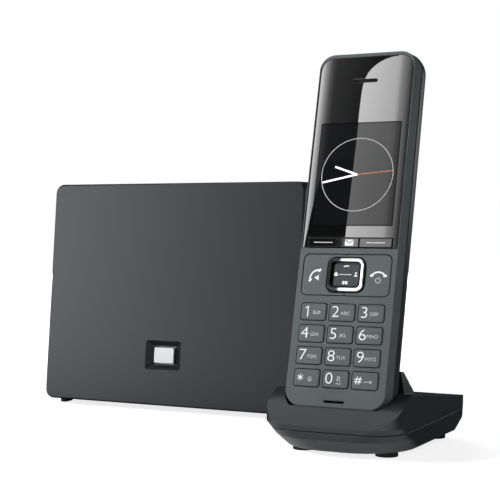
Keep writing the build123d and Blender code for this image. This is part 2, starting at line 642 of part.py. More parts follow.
def build_handset():
    """All handset pieces in the handset frame."""
    pieces = {}
    hollow = rear_volume(SIDE_WALL, COVER_INNER_DEPTH, FRONT_SHELL_DEPTH - 0.5)
    pads = make_charge_pads()
    rear_shell = make_rear_shell(hollow)
    for pad in pads:
        rear_shell = rear_shell - pad
    pieces["handset_front_shell"] = make_front_shell()
    pieces["handset_rear_shell"] = rear_shell
    pieces["handset_charge_pads"] = group(pads)
    pieces["battery_cover"] = make_battery_cover()
    pieces["handset_screws"] = make_handset_screws()

    lens = lens_outline_solid(0, 0, LENS_THICKNESS) - soft_key_band(KEY_GAP, -1, LENS_THICKNESS + 1)
    lens = lens - earpiece_slot(-1, LENS_THICKNESS + 1)
    pieces["display_lens"] = lens
    pieces["display_module"] = face_plate(
        DISPLAY_WIDTH, DISPLAY_HEIGHT, 0.4, 0, DISPLAY_BOTTOM + DISPLAY_HEIGHT / 2,
        LENS_THICKNESS + 0.05, LENS_THICKNESS + DISPLAY_DEPTH,
    )
    speaker_z = LENS_TOP - EARPIECE_DROP
    speaker = rod(SPEAKER_DIAMETER, 0, speaker_z, FACE_WALL, FACE_WALL + SPEAKER_THICKNESS)
    pieces["earpiece_speaker"] = speaker
    pieces["microphone"] = rod(
        MIC_CAPSULE_DIAMETER, 0, MICROPHONE_Z + MICROPHONE_CAPSULE_RAISE, FACE_WALL, FACE_WALL + MIC_CAPSULE_THICKNESS
    )
    pieces["key_mat"] = make_key_mat()
    board_end = HANDSET_LENGTH - BOARD_TOP_MARGIN
    pieces["handset_board"] = face_plate(
        2 * BOARD_HALF_WIDTH, board_end - BOARD_BOTTOM_MARGIN, 1.5, 0, (board_end + BOARD_BOTTOM_MARGIN) / 2,
        BOARD_TOP, BOARD_BOTTOM,
    )
    ringer_rear = COVER_INNER_DEPTH - 0.2
    pieces["ringer_speaker"] = rod(RINGER_DIAMETER, 0, RINGER_Z, ringer_rear - RINGER_THICKNESS, ringer_rear)
    pieces["battery_left"] = make_battery(-BATTERY_SPACING / 2)
    pieces["battery_right"] = make_battery(BATTERY_SPACING / 2)
    pieces["battery_contacts"] = make_battery_contacts()

    for name, x, z in key_centres():
        pieces[name] = make_key(KEY_WIDTH, KEY_HEIGHT, KEY_CORNER_RADIUS, x, z)
    soft_z = SOFT_KEY_TOP - SOFT_KEY_HEIGHT / 2
    for name, x, width in soft_key_centres():
        cap = face_plate(width, SOFT_KEY_HEIGHT, 0.3, x, soft_z, -0.2, KEY_BOTTOM)
        pieces[name] = fillet(cap.faces().sort_by(Axis.Y)[0].edges(), 0.15)
    talk, end = make_call_keys()
    pieces["talk_key"] = talk
    pieces["end_key"] = end
    stem, ring, pad = make_rocker()
    pieces["rocker_stem"] = stem
    pieces["rocker_ring"] = ring
    pieces["rocker_pad"] = pad
    return pieces


# ---------------------------------------------------------------- cradle
def plan_outline(inset, front, front_radius, z, wall=0.0):
    """Plan of the cradle at a height: wider at the rear, with the larger round corners at the front."""
    front_half = CRADLE_FRONT_WIDTH / 2 - inset - wall
    rear_half = CRADLE_WIDTH / 2 - inset / 2 - wall
    rear = CRADLE_DEPTH - wall
    corners = Polyline(
        (-front_half, front + wall), (front_half, front + wall), (rear_half, rear), (-rear_half, rear), close=True
    )
    flat = Pos(0, 0, z) * make_face(corners.edges())
    ends = flat.vertices().sort_by(Axis.Y)
    flat = fillet(ends[:2], front_radius - wall / 2)
    ends = flat.vertices().sort_by(Axis.Y)
    return fillet(ends[-2:], CRADLE_REAR_RADIUS - wall / 2)


def cradle_hull(wall=0.0):
    """Boat-shaped lower body of the cradle, up to the lip, its front corners rounder towards the keel."""
    rim = plan_outline(0, 0, CRADLE_FRONT_RADIUS, CRADLE_LIP, wall)
    bilge = plan_outline(CRADLE_BILGE_INSET, CRADLE_BILGE_FRONT, CRADLE_BILGE_RADIUS, CRADLE_BILGE_Z, wall)
    keel = plan_outline(
        CRADLE_KEEL_INSET, CRADLE_KEEL_FRONT, CRADLE_KEEL_RADIUS, CRADLE_UNDERSIDE + wall, wall
    )
    heel_start = CRADLE_DEPTH - CRADLE_HEEL_LENGTH
    heel = make_face(Polyline(
        (heel_start, CRADLE_UNDERSIDE + wall),
        (CRADLE_DEPTH, CRADLE_REAR_CORNER + wall),
        (CRADLE_DEPTH, -1),
        (heel_start, -1),
        close=True,
    ).edges())
    body = loft([rim, bilge], ruled=True) + loft([bilge, keel], ruled=True)
    return body - extrude(Plane.YZ.offset(-CRADLE_WIDTH) * heel, 2 * CRADLE_WIDTH)


def cradle_crown(wall=0.0):
    """Upper body of the cradle, between the lip and the deck."""
    block = extrude(plan_outline(0, 0, CRADLE_FRONT_RADIUS, CRADLE_LIP, wall), BROW_Z)
    curve = ThreePointArc(
        (wall, CRADLE_LIP - wall * 0.3), (LIP_CURVE_Y + wall * 0.7, LIP_CURVE_Z - wall * 0.7), (BROW_Y, BROW_Z - wall)
    )
    deck = Polyline(
        (BROW_Y, BROW_Z - wall),
        (CRADLE_DEPTH + 1, DECK_REAR_Z - wall),
        (CRADLE_DEPTH + 1, CRADLE_LIP - 1),
        (wall, CRADLE_LIP - 1),
        (wall, CRADLE_LIP - wall * 0.3),
    )
    side = make_face(curve.edges() + deck.edges())
    prism = extrude(Plane.YZ.offset(-CRADLE_WIDTH) * side, 2 * CRADLE_WIDTH)
    return block & prism


def seat_volume(clearance):
    """Room that the seated handset takes, with a clearance, open upwards along its length."""
    front = handset_section(
        -clearance, FACE_HALF_WIDTH + clearance, -clearance, HANDSET_LENGTH, FACE_CORNER_RADIUS
    )
    half = BELLY_HALF_WIDTH + clearance
    rim = handset_section(FRONT_SHELL_DEPTH, half, -clearance, HANDSET_LENGTH, CORNER_RADIUS)
    belly = handset_section(BELLY_DEPTH, half, -clearance, HANDSET_LENGTH, CORNER_RADIUS)
    back = handset_section(
        HANDSET_THICKNESS + clearance, BACK_HALF_WIDTH + 1.0 + clearance, -clearance, HANDSET_LENGTH, BACK_CORNER_RADIUS
    )
    room = face_loft(front, rim) + face_loft(rim, belly) + face_loft(belly, back)
    return HANDSET_PLACE * (room - foot_slope(-clearance / cos(radians(30))))


def back_plane_y(z, clearance):
    """Y of the handset's back at a height, with a clearance behind it."""
    tilt = radians(HANDSET_TILT)
    depth = HANDSET_THICKNESS + clearance
    along = (z - SEAT_Z + depth * sin(tilt)) / cos(tilt)
    return SEAT_Y + depth * cos(tilt) + along * sin(tilt)


def make_backrest():
    """Ramp behind the handset that carries its back."""
    floor_z = DECK_REAR_Z - 2
    foot_y = back_plane_y(floor_z, SEAT_CLEARANCE)
    top_y = back_plane_y(BACKREST_TOP_Z, SEAT_CLEARANCE)
    side = make_face(Polyline(
        (foot_y, floor_z),
        (top_y, BACKREST_TOP_Z),
        (top_y + BACKREST_TOP_LENGTH, BACKREST_TOP_Z),
        (top_y + BACKREST_FOOT_LENGTH, floor_z),
        close=True,
    ).edges())
    prism = extrude(Plane.YZ.offset(-CRADLE_WIDTH / 2) * side, CRADLE_WIDTH)
    front_view = make_face(Polyline(
        (-BACKREST_BOTTOM_HALF_WIDTH - 1.5, floor_z),
        (-BACKREST_TOP_HALF_WIDTH, BACKREST_TOP_Z),
        (BACKREST_TOP_HALF_WIDTH, BACKREST_TOP_Z),
        (BACKREST_BOTTOM_HALF_WIDTH + 1.5, floor_z),
        close=True,
    ).edges())
    mask = extrude(Plane.XZ * front_view, -CRADLE_DEPTH)
    return prism & mask


def contact_places():
    """Middle of each cradle contact across the cradle."""
    return [-CHARGE_PAD_SPACING / 2, CHARGE_PAD_SPACING / 2]


def contact_frame(lift):
    """Location under the handset's charging pads, Z away from the handset."""
    return HANDSET_PLACE * slope_frame(CHARGE_PAD_MIDDLE, lift)


def build_cradle():
    """All cradle pieces in the cradle frame."""
    pieces = {}
    hull = cradle_hull()
    hull_room = cradle_hull(CRADLE_WALL)
    far = 2 * CRADLE_DEPTH
    above_parting = span_block(-far, far, -far, far, CRADLE_PARTING, far)
    below_parting = span_block(-far, far, -far, far, -far, CRADLE_PARTING - CRADLE_SEAM)

    outer = (hull & above_parting) + cradle_crown()
    inner = cradle_crown(CRADLE_WALL) + (hull_room & span_block(-far, far, -far, far, 0, CRADLE_LIP + 0.5))
    seat = seat_volume(SEAT_CLEARANCE)
    seat_wall = seat_volume(SEAT_CLEARANCE + 1.4)
    floor_cut = span_block(-far, far, -far, far, -far, CRADLE_UNDERSIDE + CRADLE_WALL + 0.3)
    bowl = (seat_wall & (hull + cradle_crown())) - floor_cut
    slots = []
    for x in contact_places():
        slots.append(contact_frame(SEAT_CLEARANCE) * Pos(x, 0, 2) * Box(
            CONTACT_WIDTH + 2 * CONTACT_SLOT_GAP, CONTACT_LENGTH + 2 * CONTACT_SLOT_GAP, 10
        ))
    inlet_y = CRADLE_DEPTH - INLET_DEPTH
    inlet_z = (CRADLE_REAR_CORNER + DECK_REAR_Z) / 2 - 0.2
    inlet_way = span_block(
        -INLET_WIDTH / 2 - 0.2, INLET_WIDTH / 2 + 0.2, inlet_y - 1, CRADLE_DEPTH + 2,
        inlet_z - INLET_HEIGHT / 2 - 0.2, inlet_z + INLET_HEIGHT / 2 + 0.2,
    )
    top = outer - inner + bowl + (make_backrest() - seat_volume(0))
    top = top - seat - inlet_way
    for slot in slots:
        top = top - slot
    pieces["cradle_top"] = top

    bottom = (hull & below_parting) - hull_room - inlet_way
    bottom = bottom - seat_volume(SEAT_CLEARANCE + 1.7)
    screw_seat = CRADLE_UNDERSIDE + CRADLE_SCREW_SUNK + CRADLE_SCREW_HEAD_THICKNESS
    for side in (-1, 1):
        boss = Pos(side * CRADLE_SCREW_X, CRADLE_SCREW_Y, 0) * Cylinder(
            CRADLE_SCREW_HEAD / 2 + 1.4, CRADLE_PARTING - CRADLE_SEAM, align=(Align.CENTER, Align.CENTER, Align.MIN)
        )
        head_way = Pos(side * CRADLE_SCREW_X, CRADLE_SCREW_Y, 0) * Cylinder(
            CRADLE_SCREW_HEAD / 2 + 0.2, screw_seat, align=(Align.CENTER, Align.CENTER, Align.MIN)
        )
        shank_way = Pos(side * CRADLE_SCREW_X, CRADLE_SCREW_Y, 0) * Cylinder(
            CRADLE_SCREW_SHANK / 2 + 0.1, CRADLE_PARTING, align=(Align.CENTER, Align.CENTER, Align.MIN)
        )
        bottom = bottom + (boss & hull) - head_way - shank_way
    pieces["cradle_bottom"] = bottom

    screws = []
    for side in (-1, 1):
        head_low = CRADLE_UNDERSIDE + CRADLE_SCREW_SUNK
        head_high = head_low + CRADLE_SCREW_HEAD_THICKNESS
        head = Pos(side * CRADLE_SCREW_X, CRADLE_SCREW_Y, head_low) * Cylinder(
            CRADLE_SCREW_HEAD / 2, CRADLE_SCREW_HEAD_THICKNESS, align=(Align.CENTER, Align.CENTER, Align.MIN)
        )
        shank = Pos(side * CRADLE_SCREW_X, CRADLE_SCREW_Y, head_high) * Cylinder(
            CRADLE_SCREW_SHANK / 2, CRADLE_SCREW_LENGTH, align=(Align.CENTER, Align.CENTER, Align.MIN)
        )
        slot_length = CRADLE_SCREW_HEAD / 2
        recess = Pos(side * CRADLE_SCREW_X, CRADLE_SCREW_Y, head_low) * Box(slot_length, slot_length / 4, 1.0)
        screws.append(head + shank - recess)
    pieces["cradle_screws"] = group(screws)

    feet = []
    for side in (-1, 1):
        for x, y in ((CRADLE_FRONT_FOOT_X, CRADLE_FRONT_FOOT_Y), (CRADLE_REAR_FOOT_X, CRADLE_REAR_FOOT_Y)):
            feet.append(Pos(side * x, y, 0) * Cylinder(
                CRADLE_FOOT_DIAMETER / 2, CRADLE_UNDERSIDE, align=(Align.CENTER, Align.CENTER, Align.MIN)
            ))
    pieces["cradle_feet"] = group(feet)

    for name, x in zip(("cradle_contact_left", "cradle_contact_right"), contact_places()):
        tongue = contact_frame(CONTACT_STANDOFF + CONTACT_HEIGHT / 2) * Pos(x, 0, 0) * Box(
            CONTACT_WIDTH, CONTACT_LENGTH, CONTACT_HEIGHT
        )
        pieces[name] = tongue
    carrier_lift = CONTACT_STANDOFF + CONTACT_HEIGHT + CONTACT_TRAVEL + 0.1 + CARRIER_THICKNESS / 2
    pieces["contact_carrier"] = contact_frame(carrier_lift) * Box(CARRIER_WIDTH, CARRIER_LENGTH, CARRIER_THICKNESS)

    inlet = span_block(
        -INLET_WIDTH / 2, INLET_WIDTH / 2, inlet_y, CRADLE_DEPTH - 0.2,
        inlet_z - INLET_HEIGHT / 2, inlet_z + INLET_HEIGHT / 2,
    )
    mouth = span_block(
        -INLET_MOUTH_WIDTH / 2, INLET_MOUTH_WIDTH / 2, CRADLE_DEPTH - INLET_MOUTH_DEPTH, CRADLE_DEPTH + 1,
        inlet_z - INLET_MOUTH_HEIGHT / 2, inlet_z + INLET_MOUTH_HEIGHT / 2,
    )
    pieces["cradle_power_inlet"] = inlet - mouth
    return pieces


# ---------------------------------------------------------------- base station
def base_volume(inset=0.0):
    """Wedge body of the base, upright on its lean, drawn in by inset."""
    lean = radians(BASE_LEAN)
    top_z = BASE_UNDERSIDE + BASE_HEIGHT - inset
    low_z = BASE_UNDERSIDE + inset
    front_top_y = (top_z - BASE_UNDERSIDE) * tan(lean) + inset
    front_low_y = (low_z - BASE_UNDERSIDE) * tan(lean) + inset
    full_top_y = BASE_HEIGHT * tan(lean) + BASE_TOP_DEPTH
    rear_y = BASE_BOTTOM_DEPTH - inset
    side = make_face(Polyline(
        (front_low_y, low_z),
        (front_top_y, top_z),
        (full_top_y - inset, top_z),
        (rear_y, BASE_UNDERSIDE + BASE_REAR_WALL_HEIGHT),
        (rear_y, low_z),
        close=True,
    ).edges())
    prism = extrude(Plane.YZ.offset(inset) * side, BASE_WIDTH - 2 * inset)
    outline = face_plate(
        BASE_WIDTH - 2 * inset, BASE_HEIGHT - 2 * inset, BASE_CORNER_RADIUS - inset / 2,
        BASE_WIDTH / 2, BASE_UNDERSIDE + BASE_HEIGHT / 2, -5, BASE_BOTTOM_DEPTH + 5,
    )
    return prism & outline


def behind(depth):
    """Everything more than a depth behind the front face."""
    far = 2 * BASE_WIDTH
    return PANEL_PLACE * span_block(-far, far, depth, far, -far, far)


def page_key_centre():
    """Middle of the page key on the front face."""
    return POCKET_LEFT + POCKET_WIDTH / 2, POCKET_BOTTOM + POCKET_HEIGHT / 2


def make_base_cover():
    """Front cover: dished plate with a bevelled pocket for the page key."""
    body = base_volume()
    front_edges = body.faces().sort_by(Axis.Y)[0].edges()
    body = chamfer(front_edges, BASE_FRONT_CHAMFER)
    cover = body - behind(BASE_COVER_DEPTH)
    room = base_volume(BASE_WALL) & behind(BASE_WALL)
    cover = cover - room
    x, z = page_key_centre()
    seat = face_plate(POCKET_WIDTH + 2 * POCKET_RIM, POCKET_HEIGHT + 2 * POCKET_RIM, 1.5, x, z, 0.5, POCKET_DEPTH + 1.4)
    hole = face_plate(
        PAGE_KEY_WIDTH + 2 * PAGE_KEY_GAP, PAGE_KEY_HEIGHT + 2 * PAGE_KEY_GAP, 0.9, x, z, -1, POCKET_DEPTH + 3
    )
    mouth = face_outline(POCKET_WIDTH, POCKET_HEIGHT, POCKET_CORNER_RADIUS, x, z, 0)
    throat = face_outline(
        PAGE_KEY_WIDTH + 2 * PAGE_KEY_GAP + 1.0, PAGE_KEY_HEIGHT + 2 * PAGE_KEY_GAP + 1.0, 0.9, x, z, POCKET_DEPTH
    )
    cover = cover + PANEL_PLACE * seat
    return cover - PANEL_PLACE * face_loft(mouth, throat) - PANEL_PLACE * hole


def base_screw_places():
    """Screw centres on the back of the base."""
    left = BASE_SCREW_INSET_X
    right = BASE_WIDTH - BASE_SCREW_INSET_X
    low = BASE_UNDERSIDE + BASE_SCREW_LOW
    high = BASE_UNDERSIDE + BASE_SCREW_HIGH
    return [(left, low), (right, low), (left, high), (right, high)]


def base_back_y(z):
    """Y of the back of the base at a height."""
    bend = BASE_UNDERSIDE + BASE_REAR_WALL_HEIGHT
    if z <= bend:
        return BASE_BOTTOM_DEPTH
    top_y = BASE_HEIGHT * tan(radians(BASE_LEAN)) + BASE_TOP_DEPTH
    share = (z - bend) / (BASE_UNDERSIDE + BASE_HEIGHT - bend)
    return BASE_BOTTOM_DEPTH + share * (top_y - BASE_BOTTOM_DEPTH)


def socket_specs():
    """Name, middle across, outer size and mouth of each socket on the back."""
    return [
        ("lan_socket", LAN_X, LAN_SIZE, LAN_MOUTH),
        ("phone_line_socket", PHONE_X, PHONE_SIZE, PHONE_MOUTH),
        ("power_socket", POWER_X, POWER_SIZE, POWER_MOUTH),
    ]


def socket_block(x, size, gap):
    """Body of a socket that stands on the socket board and ends at the back."""
    width, depth, height = size
    low = BASE_UNDERSIDE + SOCKET_BOARD_HEIGHT + SOCKET_BOARD_THICKNESS
    return span_block(
        x - width / 2 - gap, x + width / 2 + gap, BASE_BOTTOM_DEPTH - depth - gap, BASE_BOTTOM_DEPTH + gap,
        low - gap, low + height + gap,
    )


def make_socket(x, size, mouth):
    """Socket housing with a mouth open to the rear and a latch notch under it."""
    width, depth, height = size
    mouth_width, mouth_depth, mouth_height = mouth
    low = BASE_UNDERSIDE + SOCKET_BOARD_HEIGHT + SOCKET_BOARD_THICKNESS
    middle = low + height / 2
    opening = span_block(
        x - mouth_width / 2, x + mouth_width / 2, BASE_BOTTOM_DEPTH - mouth_depth, BASE_BOTTOM_DEPTH + 1,
        middle - mouth_height / 2, middle + mouth_height / 2,
    )
    notch = span_block(
        x - mouth_width / 4, x + mouth_width / 4, BASE_BOTTOM_DEPTH - mouth_depth, BASE_BOTTOM_DEPTH + 1,
        middle - mouth_height / 2 - 1.2, middle,
    )
    return socket_block(x, size, 0) - opening - notch


def make_rear_housing():
    """Rear housing: hollow wedge with screw bosses, vents and holes for the sockets."""
    shell = base_volume() & behind(BASE_COVER_DEPTH + BASE_SEAM)
    room = base_volume(BASE_WALL)
    shell = shell - room
    for x, z in base_screw_places():
        back = base_back_y(z)
        boss = rod(BASE_BOSS_DIAMETER, x, z, 0, back) & base_volume() & behind(BASE_COVER_DEPTH + BASE_SEAM)
        head_way = rod(BASE_SCREW_HEAD + 0.5, x, z, back - BASE_SCREW_SUNK, back + 6)
        shank_way = rod(BASE_SCREW_SHANK + 0.3, x, z, 0, back)
        shell = shell + boss - head_way - shank_way
    for name, x, size, mouth in socket_specs():
        shell = shell - socket_block(x, size, SOCKET_GAP)
    first = BASE_WIDTH / 2 - VENT_PITCH * (VENT_COUNT - 1) / 2
    for number in range(VENT_COUNT):
        x = first + number * VENT_PITCH
        shell = shell - face_plate(
            VENT_WIDTH, VENT_HEIGHT, VENT_WIDTH / 2, x, VENT_BOTTOM + VENT_HEIGHT / 2,
            BASE_TOP_DEPTH + BASE_HEIGHT * tan(radians(BASE_LEAN)) - 6, BASE_BOTTOM_DEPTH + 1,
        )
    rib_low = BASE_UNDERSIDE + BASE_WALL
    for x in (SOCKET_BOARD_LEFT + 4, SOCKET_BOARD_RIGHT - 4):
        shell = shell + span_block(
            x - 2, x + 2, BASE_BOTTOM_DEPTH - 20, BASE_BOTTOM_DEPTH - 4, rib_low - 0.5, BASE_UNDERSIDE + SOCKET_BOARD_HEIGHT
        )
    return shell


def build_base():
    """All base station pieces in the base frame."""
    pieces = {}
    pieces["base_front_cover"] = make_base_cover()
    pieces["base_rear_housing"] = make_rear_housing()

    x, z = page_key_centre()
    key_rear = PAGE_KEY_SUNK + PAGE_KEY_THICKNESS
    key = face_plate(PAGE_KEY_WIDTH, PAGE_KEY_HEIGHT, 0.8, x, z, PAGE_KEY_SUNK, key_rear)
    key = fillet(key.faces().sort_by(Axis.Y)[0].edges(), 0.4)
    flange_front = POCKET_DEPTH + 1.4 + 0.1
    flange = face_plate(
        PAGE_KEY_WIDTH + 2 * PAGE_KEY_FLANGE, PAGE_KEY_HEIGHT + 2 * PAGE_KEY_FLANGE, 1.2, x, z,
        flange_front, flange_front + 1.0,
    )
    pieces["page_key"] = PANEL_PLACE * (key + flange)
    key_back = max(key_rear, flange_front + 1.0)
    switch_front = key_back + PAGE_KEY_TRAVEL + 0.1
    pieces["page_switch"] = PANEL_PLACE * face_plate(
        PAGE_SWITCH_SIZE, PAGE_SWITCH_SIZE, 0.5, x, z, switch_front, BASE_BOARD_DEPTH
    )

    board_top = BASE_HEIGHT - BASE_BOARD_TOP_MARGIN
    board = face_plate(
        BASE_WIDTH - 4 * BASE_BOARD_MARGIN, board_top - BASE_BOARD_BOTTOM, 2.0, BASE_WIDTH / 2,
        (board_top + BASE_BOARD_BOTTOM) / 2, BASE_BOARD_DEPTH, BASE_BOARD_DEPTH + BASE_BOARD_THICKNESS,
    )
    pieces["base_board"] = PANEL_PLACE * board
    antennas = []
    antenna_rear = BASE_BOARD_DEPTH - ANTENNA_STANDOFF
    for middle in (ANTENNA_INSET + ANTENNA_WIDTH / 2, BASE_WIDTH - ANTENNA_INSET - ANTENNA_WIDTH / 2):
        plate = face_plate(
            ANTENNA_WIDTH, ANTENNA_HEIGHT, 0.6, middle, board_top - ANTENNA_HEIGHT / 2 - 1,
            antenna_rear - ANTENNA_THICKNESS, antenna_rear,
        )
        post = rod(ANTENNA_POST, middle, board_top - ANTENNA_HEIGHT / 2 - 1, antenna_rear, BASE_BOARD_DEPTH)
        antennas.append(PANEL_PLACE * (plate + post))
    pieces["base_antennas"] = group(antennas)

    board_low = BASE_UNDERSIDE + SOCKET_BOARD_HEIGHT
    pieces["socket_board"] = span_block(
        SOCKET_BOARD_LEFT, SOCKET_BOARD_RIGHT,
        BASE_BOTTOM_DEPTH - BASE_WALL - 0.6 - SOCKET_BOARD_DEPTH, BASE_BOTTOM_DEPTH - BASE_WALL - 0.6,
        board_low, board_low + SOCKET_BOARD_THICKNESS,
    )
    for name, middle, size, mouth in socket_specs():
        pieces[name] = make_socket(middle, size, mouth)

    screws = []
    for screw_x, screw_z in base_screw_places():
        back = base_back_y(screw_z)
        head_front = back - BASE_SCREW_SUNK
        head_rear = head_front + BASE_SCREW_HEAD_THICKNESS
        head = rod(BASE_SCREW_HEAD, screw_x, screw_z, head_front, head_rear)
        shank = rod(BASE_SCREW_SHANK, screw_x, screw_z, head_front - BASE_SCREW_LENGTH, head_front)
        slot_width = BASE_SCREW_HEAD / 2
        recess = face_plate(slot_width, slot_width / 4, 0.2, screw_x, screw_z, head_rear - 0.7, back)
        screws.append(head + shank - recess)
    pieces["base_screws"] = group(screws)

    feet = []
    for foot_x in (BASE_FOOT_INSET_X, BASE_WIDTH - BASE_FOOT_INSET_X):
        for foot_y in (BASE_FRONT_FOOT_Y, BASE_REAR_FOOT_Y):
            pad = Pos(foot_x, foot_y, 0) * RectangleRounded(BASE_FOOT_WIDTH, BASE_FOOT_LENGTH, 1.2)
            feet.append(extrude(pad, BASE_UNDERSIDE))
    pieces["base_feet"] = group(feet)
    return pieces


# ---------------------------------------------------------------- the set
def build_set():
    """Every piece in the world frame, with the origin under the middle of the whole set."""
    placed = {}
    for name, piece in build_handset().items():
        placed[name] = CRADLE_PLACE * HANDSET_PLACE * piece
    for name, piece in build_cradle().items():
        placed[name] = CRADLE_PLACE * piece
    placed.update(build_base())
    box = group(placed.values()).bounding_box()
    centring = Pos(-(box.min.X + box.max.X) / 2, -(box.min.Y + box.max.Y) / 2, -box.min.Z)
    return {name: centring * piece for name, piece in placed.items()}, centring


PIECES, CENTRING = build_set()
os.makedirs("parts", exist_ok=True)
for piece_name, piece_shape in PIECES.items():
    export_step(piece_shape, "parts/" + piece_name + ".step")
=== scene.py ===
import json
from math import cos, radians, sin

import bmesh
import bpy
from mathutils import Euler, Matrix, Vector


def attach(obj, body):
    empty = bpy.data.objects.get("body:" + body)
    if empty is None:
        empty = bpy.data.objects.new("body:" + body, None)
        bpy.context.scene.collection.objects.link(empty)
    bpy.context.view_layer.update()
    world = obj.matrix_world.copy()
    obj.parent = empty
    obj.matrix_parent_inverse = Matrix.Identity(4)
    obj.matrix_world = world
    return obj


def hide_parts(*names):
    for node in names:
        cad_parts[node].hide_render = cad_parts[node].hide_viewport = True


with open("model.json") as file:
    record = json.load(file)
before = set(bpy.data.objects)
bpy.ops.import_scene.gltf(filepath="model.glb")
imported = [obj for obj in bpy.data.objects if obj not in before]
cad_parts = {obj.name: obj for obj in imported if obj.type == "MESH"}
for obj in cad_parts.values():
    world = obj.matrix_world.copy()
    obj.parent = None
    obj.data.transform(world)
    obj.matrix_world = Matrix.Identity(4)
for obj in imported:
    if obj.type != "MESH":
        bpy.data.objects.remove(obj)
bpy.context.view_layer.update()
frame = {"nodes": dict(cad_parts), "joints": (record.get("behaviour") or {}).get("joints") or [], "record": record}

# Drawings and finishes are sized in millimetres, places of lights and cards in metres.
MM = 0.001
SCENE = bpy.context.scene
NODES = frame["nodes"]
ACROSS = Vector((1, 0, 0))


# ---------------------------------------------------------------- the frame's own directions
def joint(name):
    """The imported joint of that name."""
    return next(j for j in frame["joints"] if j["name"] == name)


ALONG = Vector(joint("handset_lift")["axis"]).normalized()
INWARD = Vector(joint("key_5_press")["axis"]).normalized()


def span(node, axis):
    """Lowest and highest place of a CAD node along an axis, in metres."""
    places = [v.co.dot(axis) for v in NODES[node].data.vertices]
    return min(places), max(places)


def middle(node, axis):
    """Middle of a CAD node along an axis."""
    low, high = span(node, axis)
    return (low + high) / 2


def face_place(x, along, depth):
    """Matrix that lays a flat drawing on the handset's face: its X across, Y along, Z outwards."""
    place = Matrix((ACROSS, ALONG, -INWARD)).transposed().to_4x4()
    place.translation = ACROSS * x + ALONG * along + INWARD * depth
    return place


def node_face(node, dx=0.0, dy=0.0, lift=0.02):
    """Place on a handset node's front, moved by millimetres across and along, lifted a little."""
    depth = span(node, INWARD)[0] - lift * MM
    return face_place(middle(node, ACROSS) + dx * MM, middle(node, ALONG) + dy * MM, depth)


# ---------------------------------------------------------------- node materials
BEVEL_SAMPLES = 6
GRAIN_STRENGTH = 0.35
CLOUD_SCALE = 45.0
EDGE_FLAT, EDGE_ROUND = 0.995, 0.75
EDGE_GAIN, EDGE_LIFT = 2.2, 0.02
SMEAR_SCALE = 30.0
HAIR_SCALE, HAIR_STRETCH, HAIR_DEPTH = 500.0, 12.0, 0.02
SPECKLE_SCALE = 1500.0


def new_material(name):
    """Material with its node tree and its shader."""
    material = bpy.data.materials.new(name)
    material.use_nodes = True
    tree = material.node_tree
    return material, tree, tree.nodes["Principled BSDF"]


def add_node(tree, kind, **values):
    """Adds a shader node and sets its attributes or input sockets by name."""
    node = tree.nodes.new(kind)
    for key, value in values.items():
        if hasattr(node, key):
            setattr(node, key, value)
        else:
            node.inputs[key.replace("_", " ")].default_value = value
    return node


def rgba(colour, gain=1.0):
    """Colour with full alpha, made lighter or darker by a factor."""
    return tuple(min(1.0, c * gain) for c in colour) + (1.0,)


def object_place(tree):
    """Socket with the place on the piece itself."""
    return tree.nodes.new("ShaderNodeTexCoord").outputs["Object"]


def object_noise(tree, scale, detail=2.0, roughness=0.5):
    """Socket with noise that is fixed to the piece."""
    noise = add_node(tree, "ShaderNodeTexNoise", Scale=scale, Detail=detail, Roughness=roughness)
    tree.links.new(object_place(tree), noise.inputs["Vector"])
    return noise.outputs["Fac"]


def ranged(tree, source, before, after=(0.0, 1.0), **values):
    """Socket with a value carried over from one range to another."""
    node = add_node(tree, "ShaderNodeMapRange", **values)
    node.inputs["From Min"].default_value, node.inputs["From Max"].default_value = before
    node.inputs["To Min"].default_value, node.inputs["To Max"].default_value = after
    tree.links.new(source, node.inputs["Value"])
    return node.outputs["Result"]


def ramped(tree, source, stops, stepped=False):
    """Socket with a colour ramp; each stop is its position and its colour."""
    node = tree.nodes.new("ShaderNodeValToRGB")
    if stepped:
        node.color_ramp.interpolation = "CONSTANT"
    elements = node.color_ramp.elements
    while len(elements) < len(stops):
        elements.new(0.5)
    for element, (position, colour) in zip(elements, stops):
        element.position = position
        element.color = colour
    tree.links.new(source, node.inputs["Fac"])
    return node.outputs["Color"]


def rounded_normal(tree, radius):
    """Socket with the normal of the piece as if its edges were rounded."""
    rounding = add_node(tree, "ShaderNodeBevel", samples=BEVEL_SAMPLES, Radius=radius * MM)
    return rounding.outputs["Normal"]


def add_relief(tree, shader, height, strength, depth, normal):
    """Lays a fine relief over a normal and gives it to the shader."""
    bump = add_node(tree, "ShaderNodeBump", Strength=strength, Distance=depth * MM)
    tree.links.new(height, bump.inputs["Height"])
    tree.links.new(normal, bump.inputs["Normal"])
    tree.links.new(bump.outputs["Normal"], shader.inputs["Normal"])


def edge_share(tree, normal, most):
    """Socket that grows where the rounded normal leaves the face's own, so along edges."""
    facing = add_node(tree, "ShaderNodeVectorMath", operation="DOT_PRODUCT")
    tree.links.new(normal, facing.inputs[0])
    tree.links.new(tree.nodes.new("ShaderNodeNewGeometry").outputs["Normal"], facing.inputs[1])
    return ranged(tree, facing.outputs["Value"], (EDGE_FLAT, EDGE_ROUND), (0.0, most))


def blended(tree, share, colour_socket, other):
    """Socket that goes from a linked colour to a fixed other one."""
    mix = add_node(tree, "ShaderNodeMix", data_type="RGBA")
    first, second = (socket for socket in mix.inputs if socket.type == "RGBA")
    second.default_value = other
    tree.links.new(share, mix.inputs["Factor"])
    tree.links.new(colour_socket, first)
    return next(socket for socket in mix.outputs if socket.type == "RGBA")


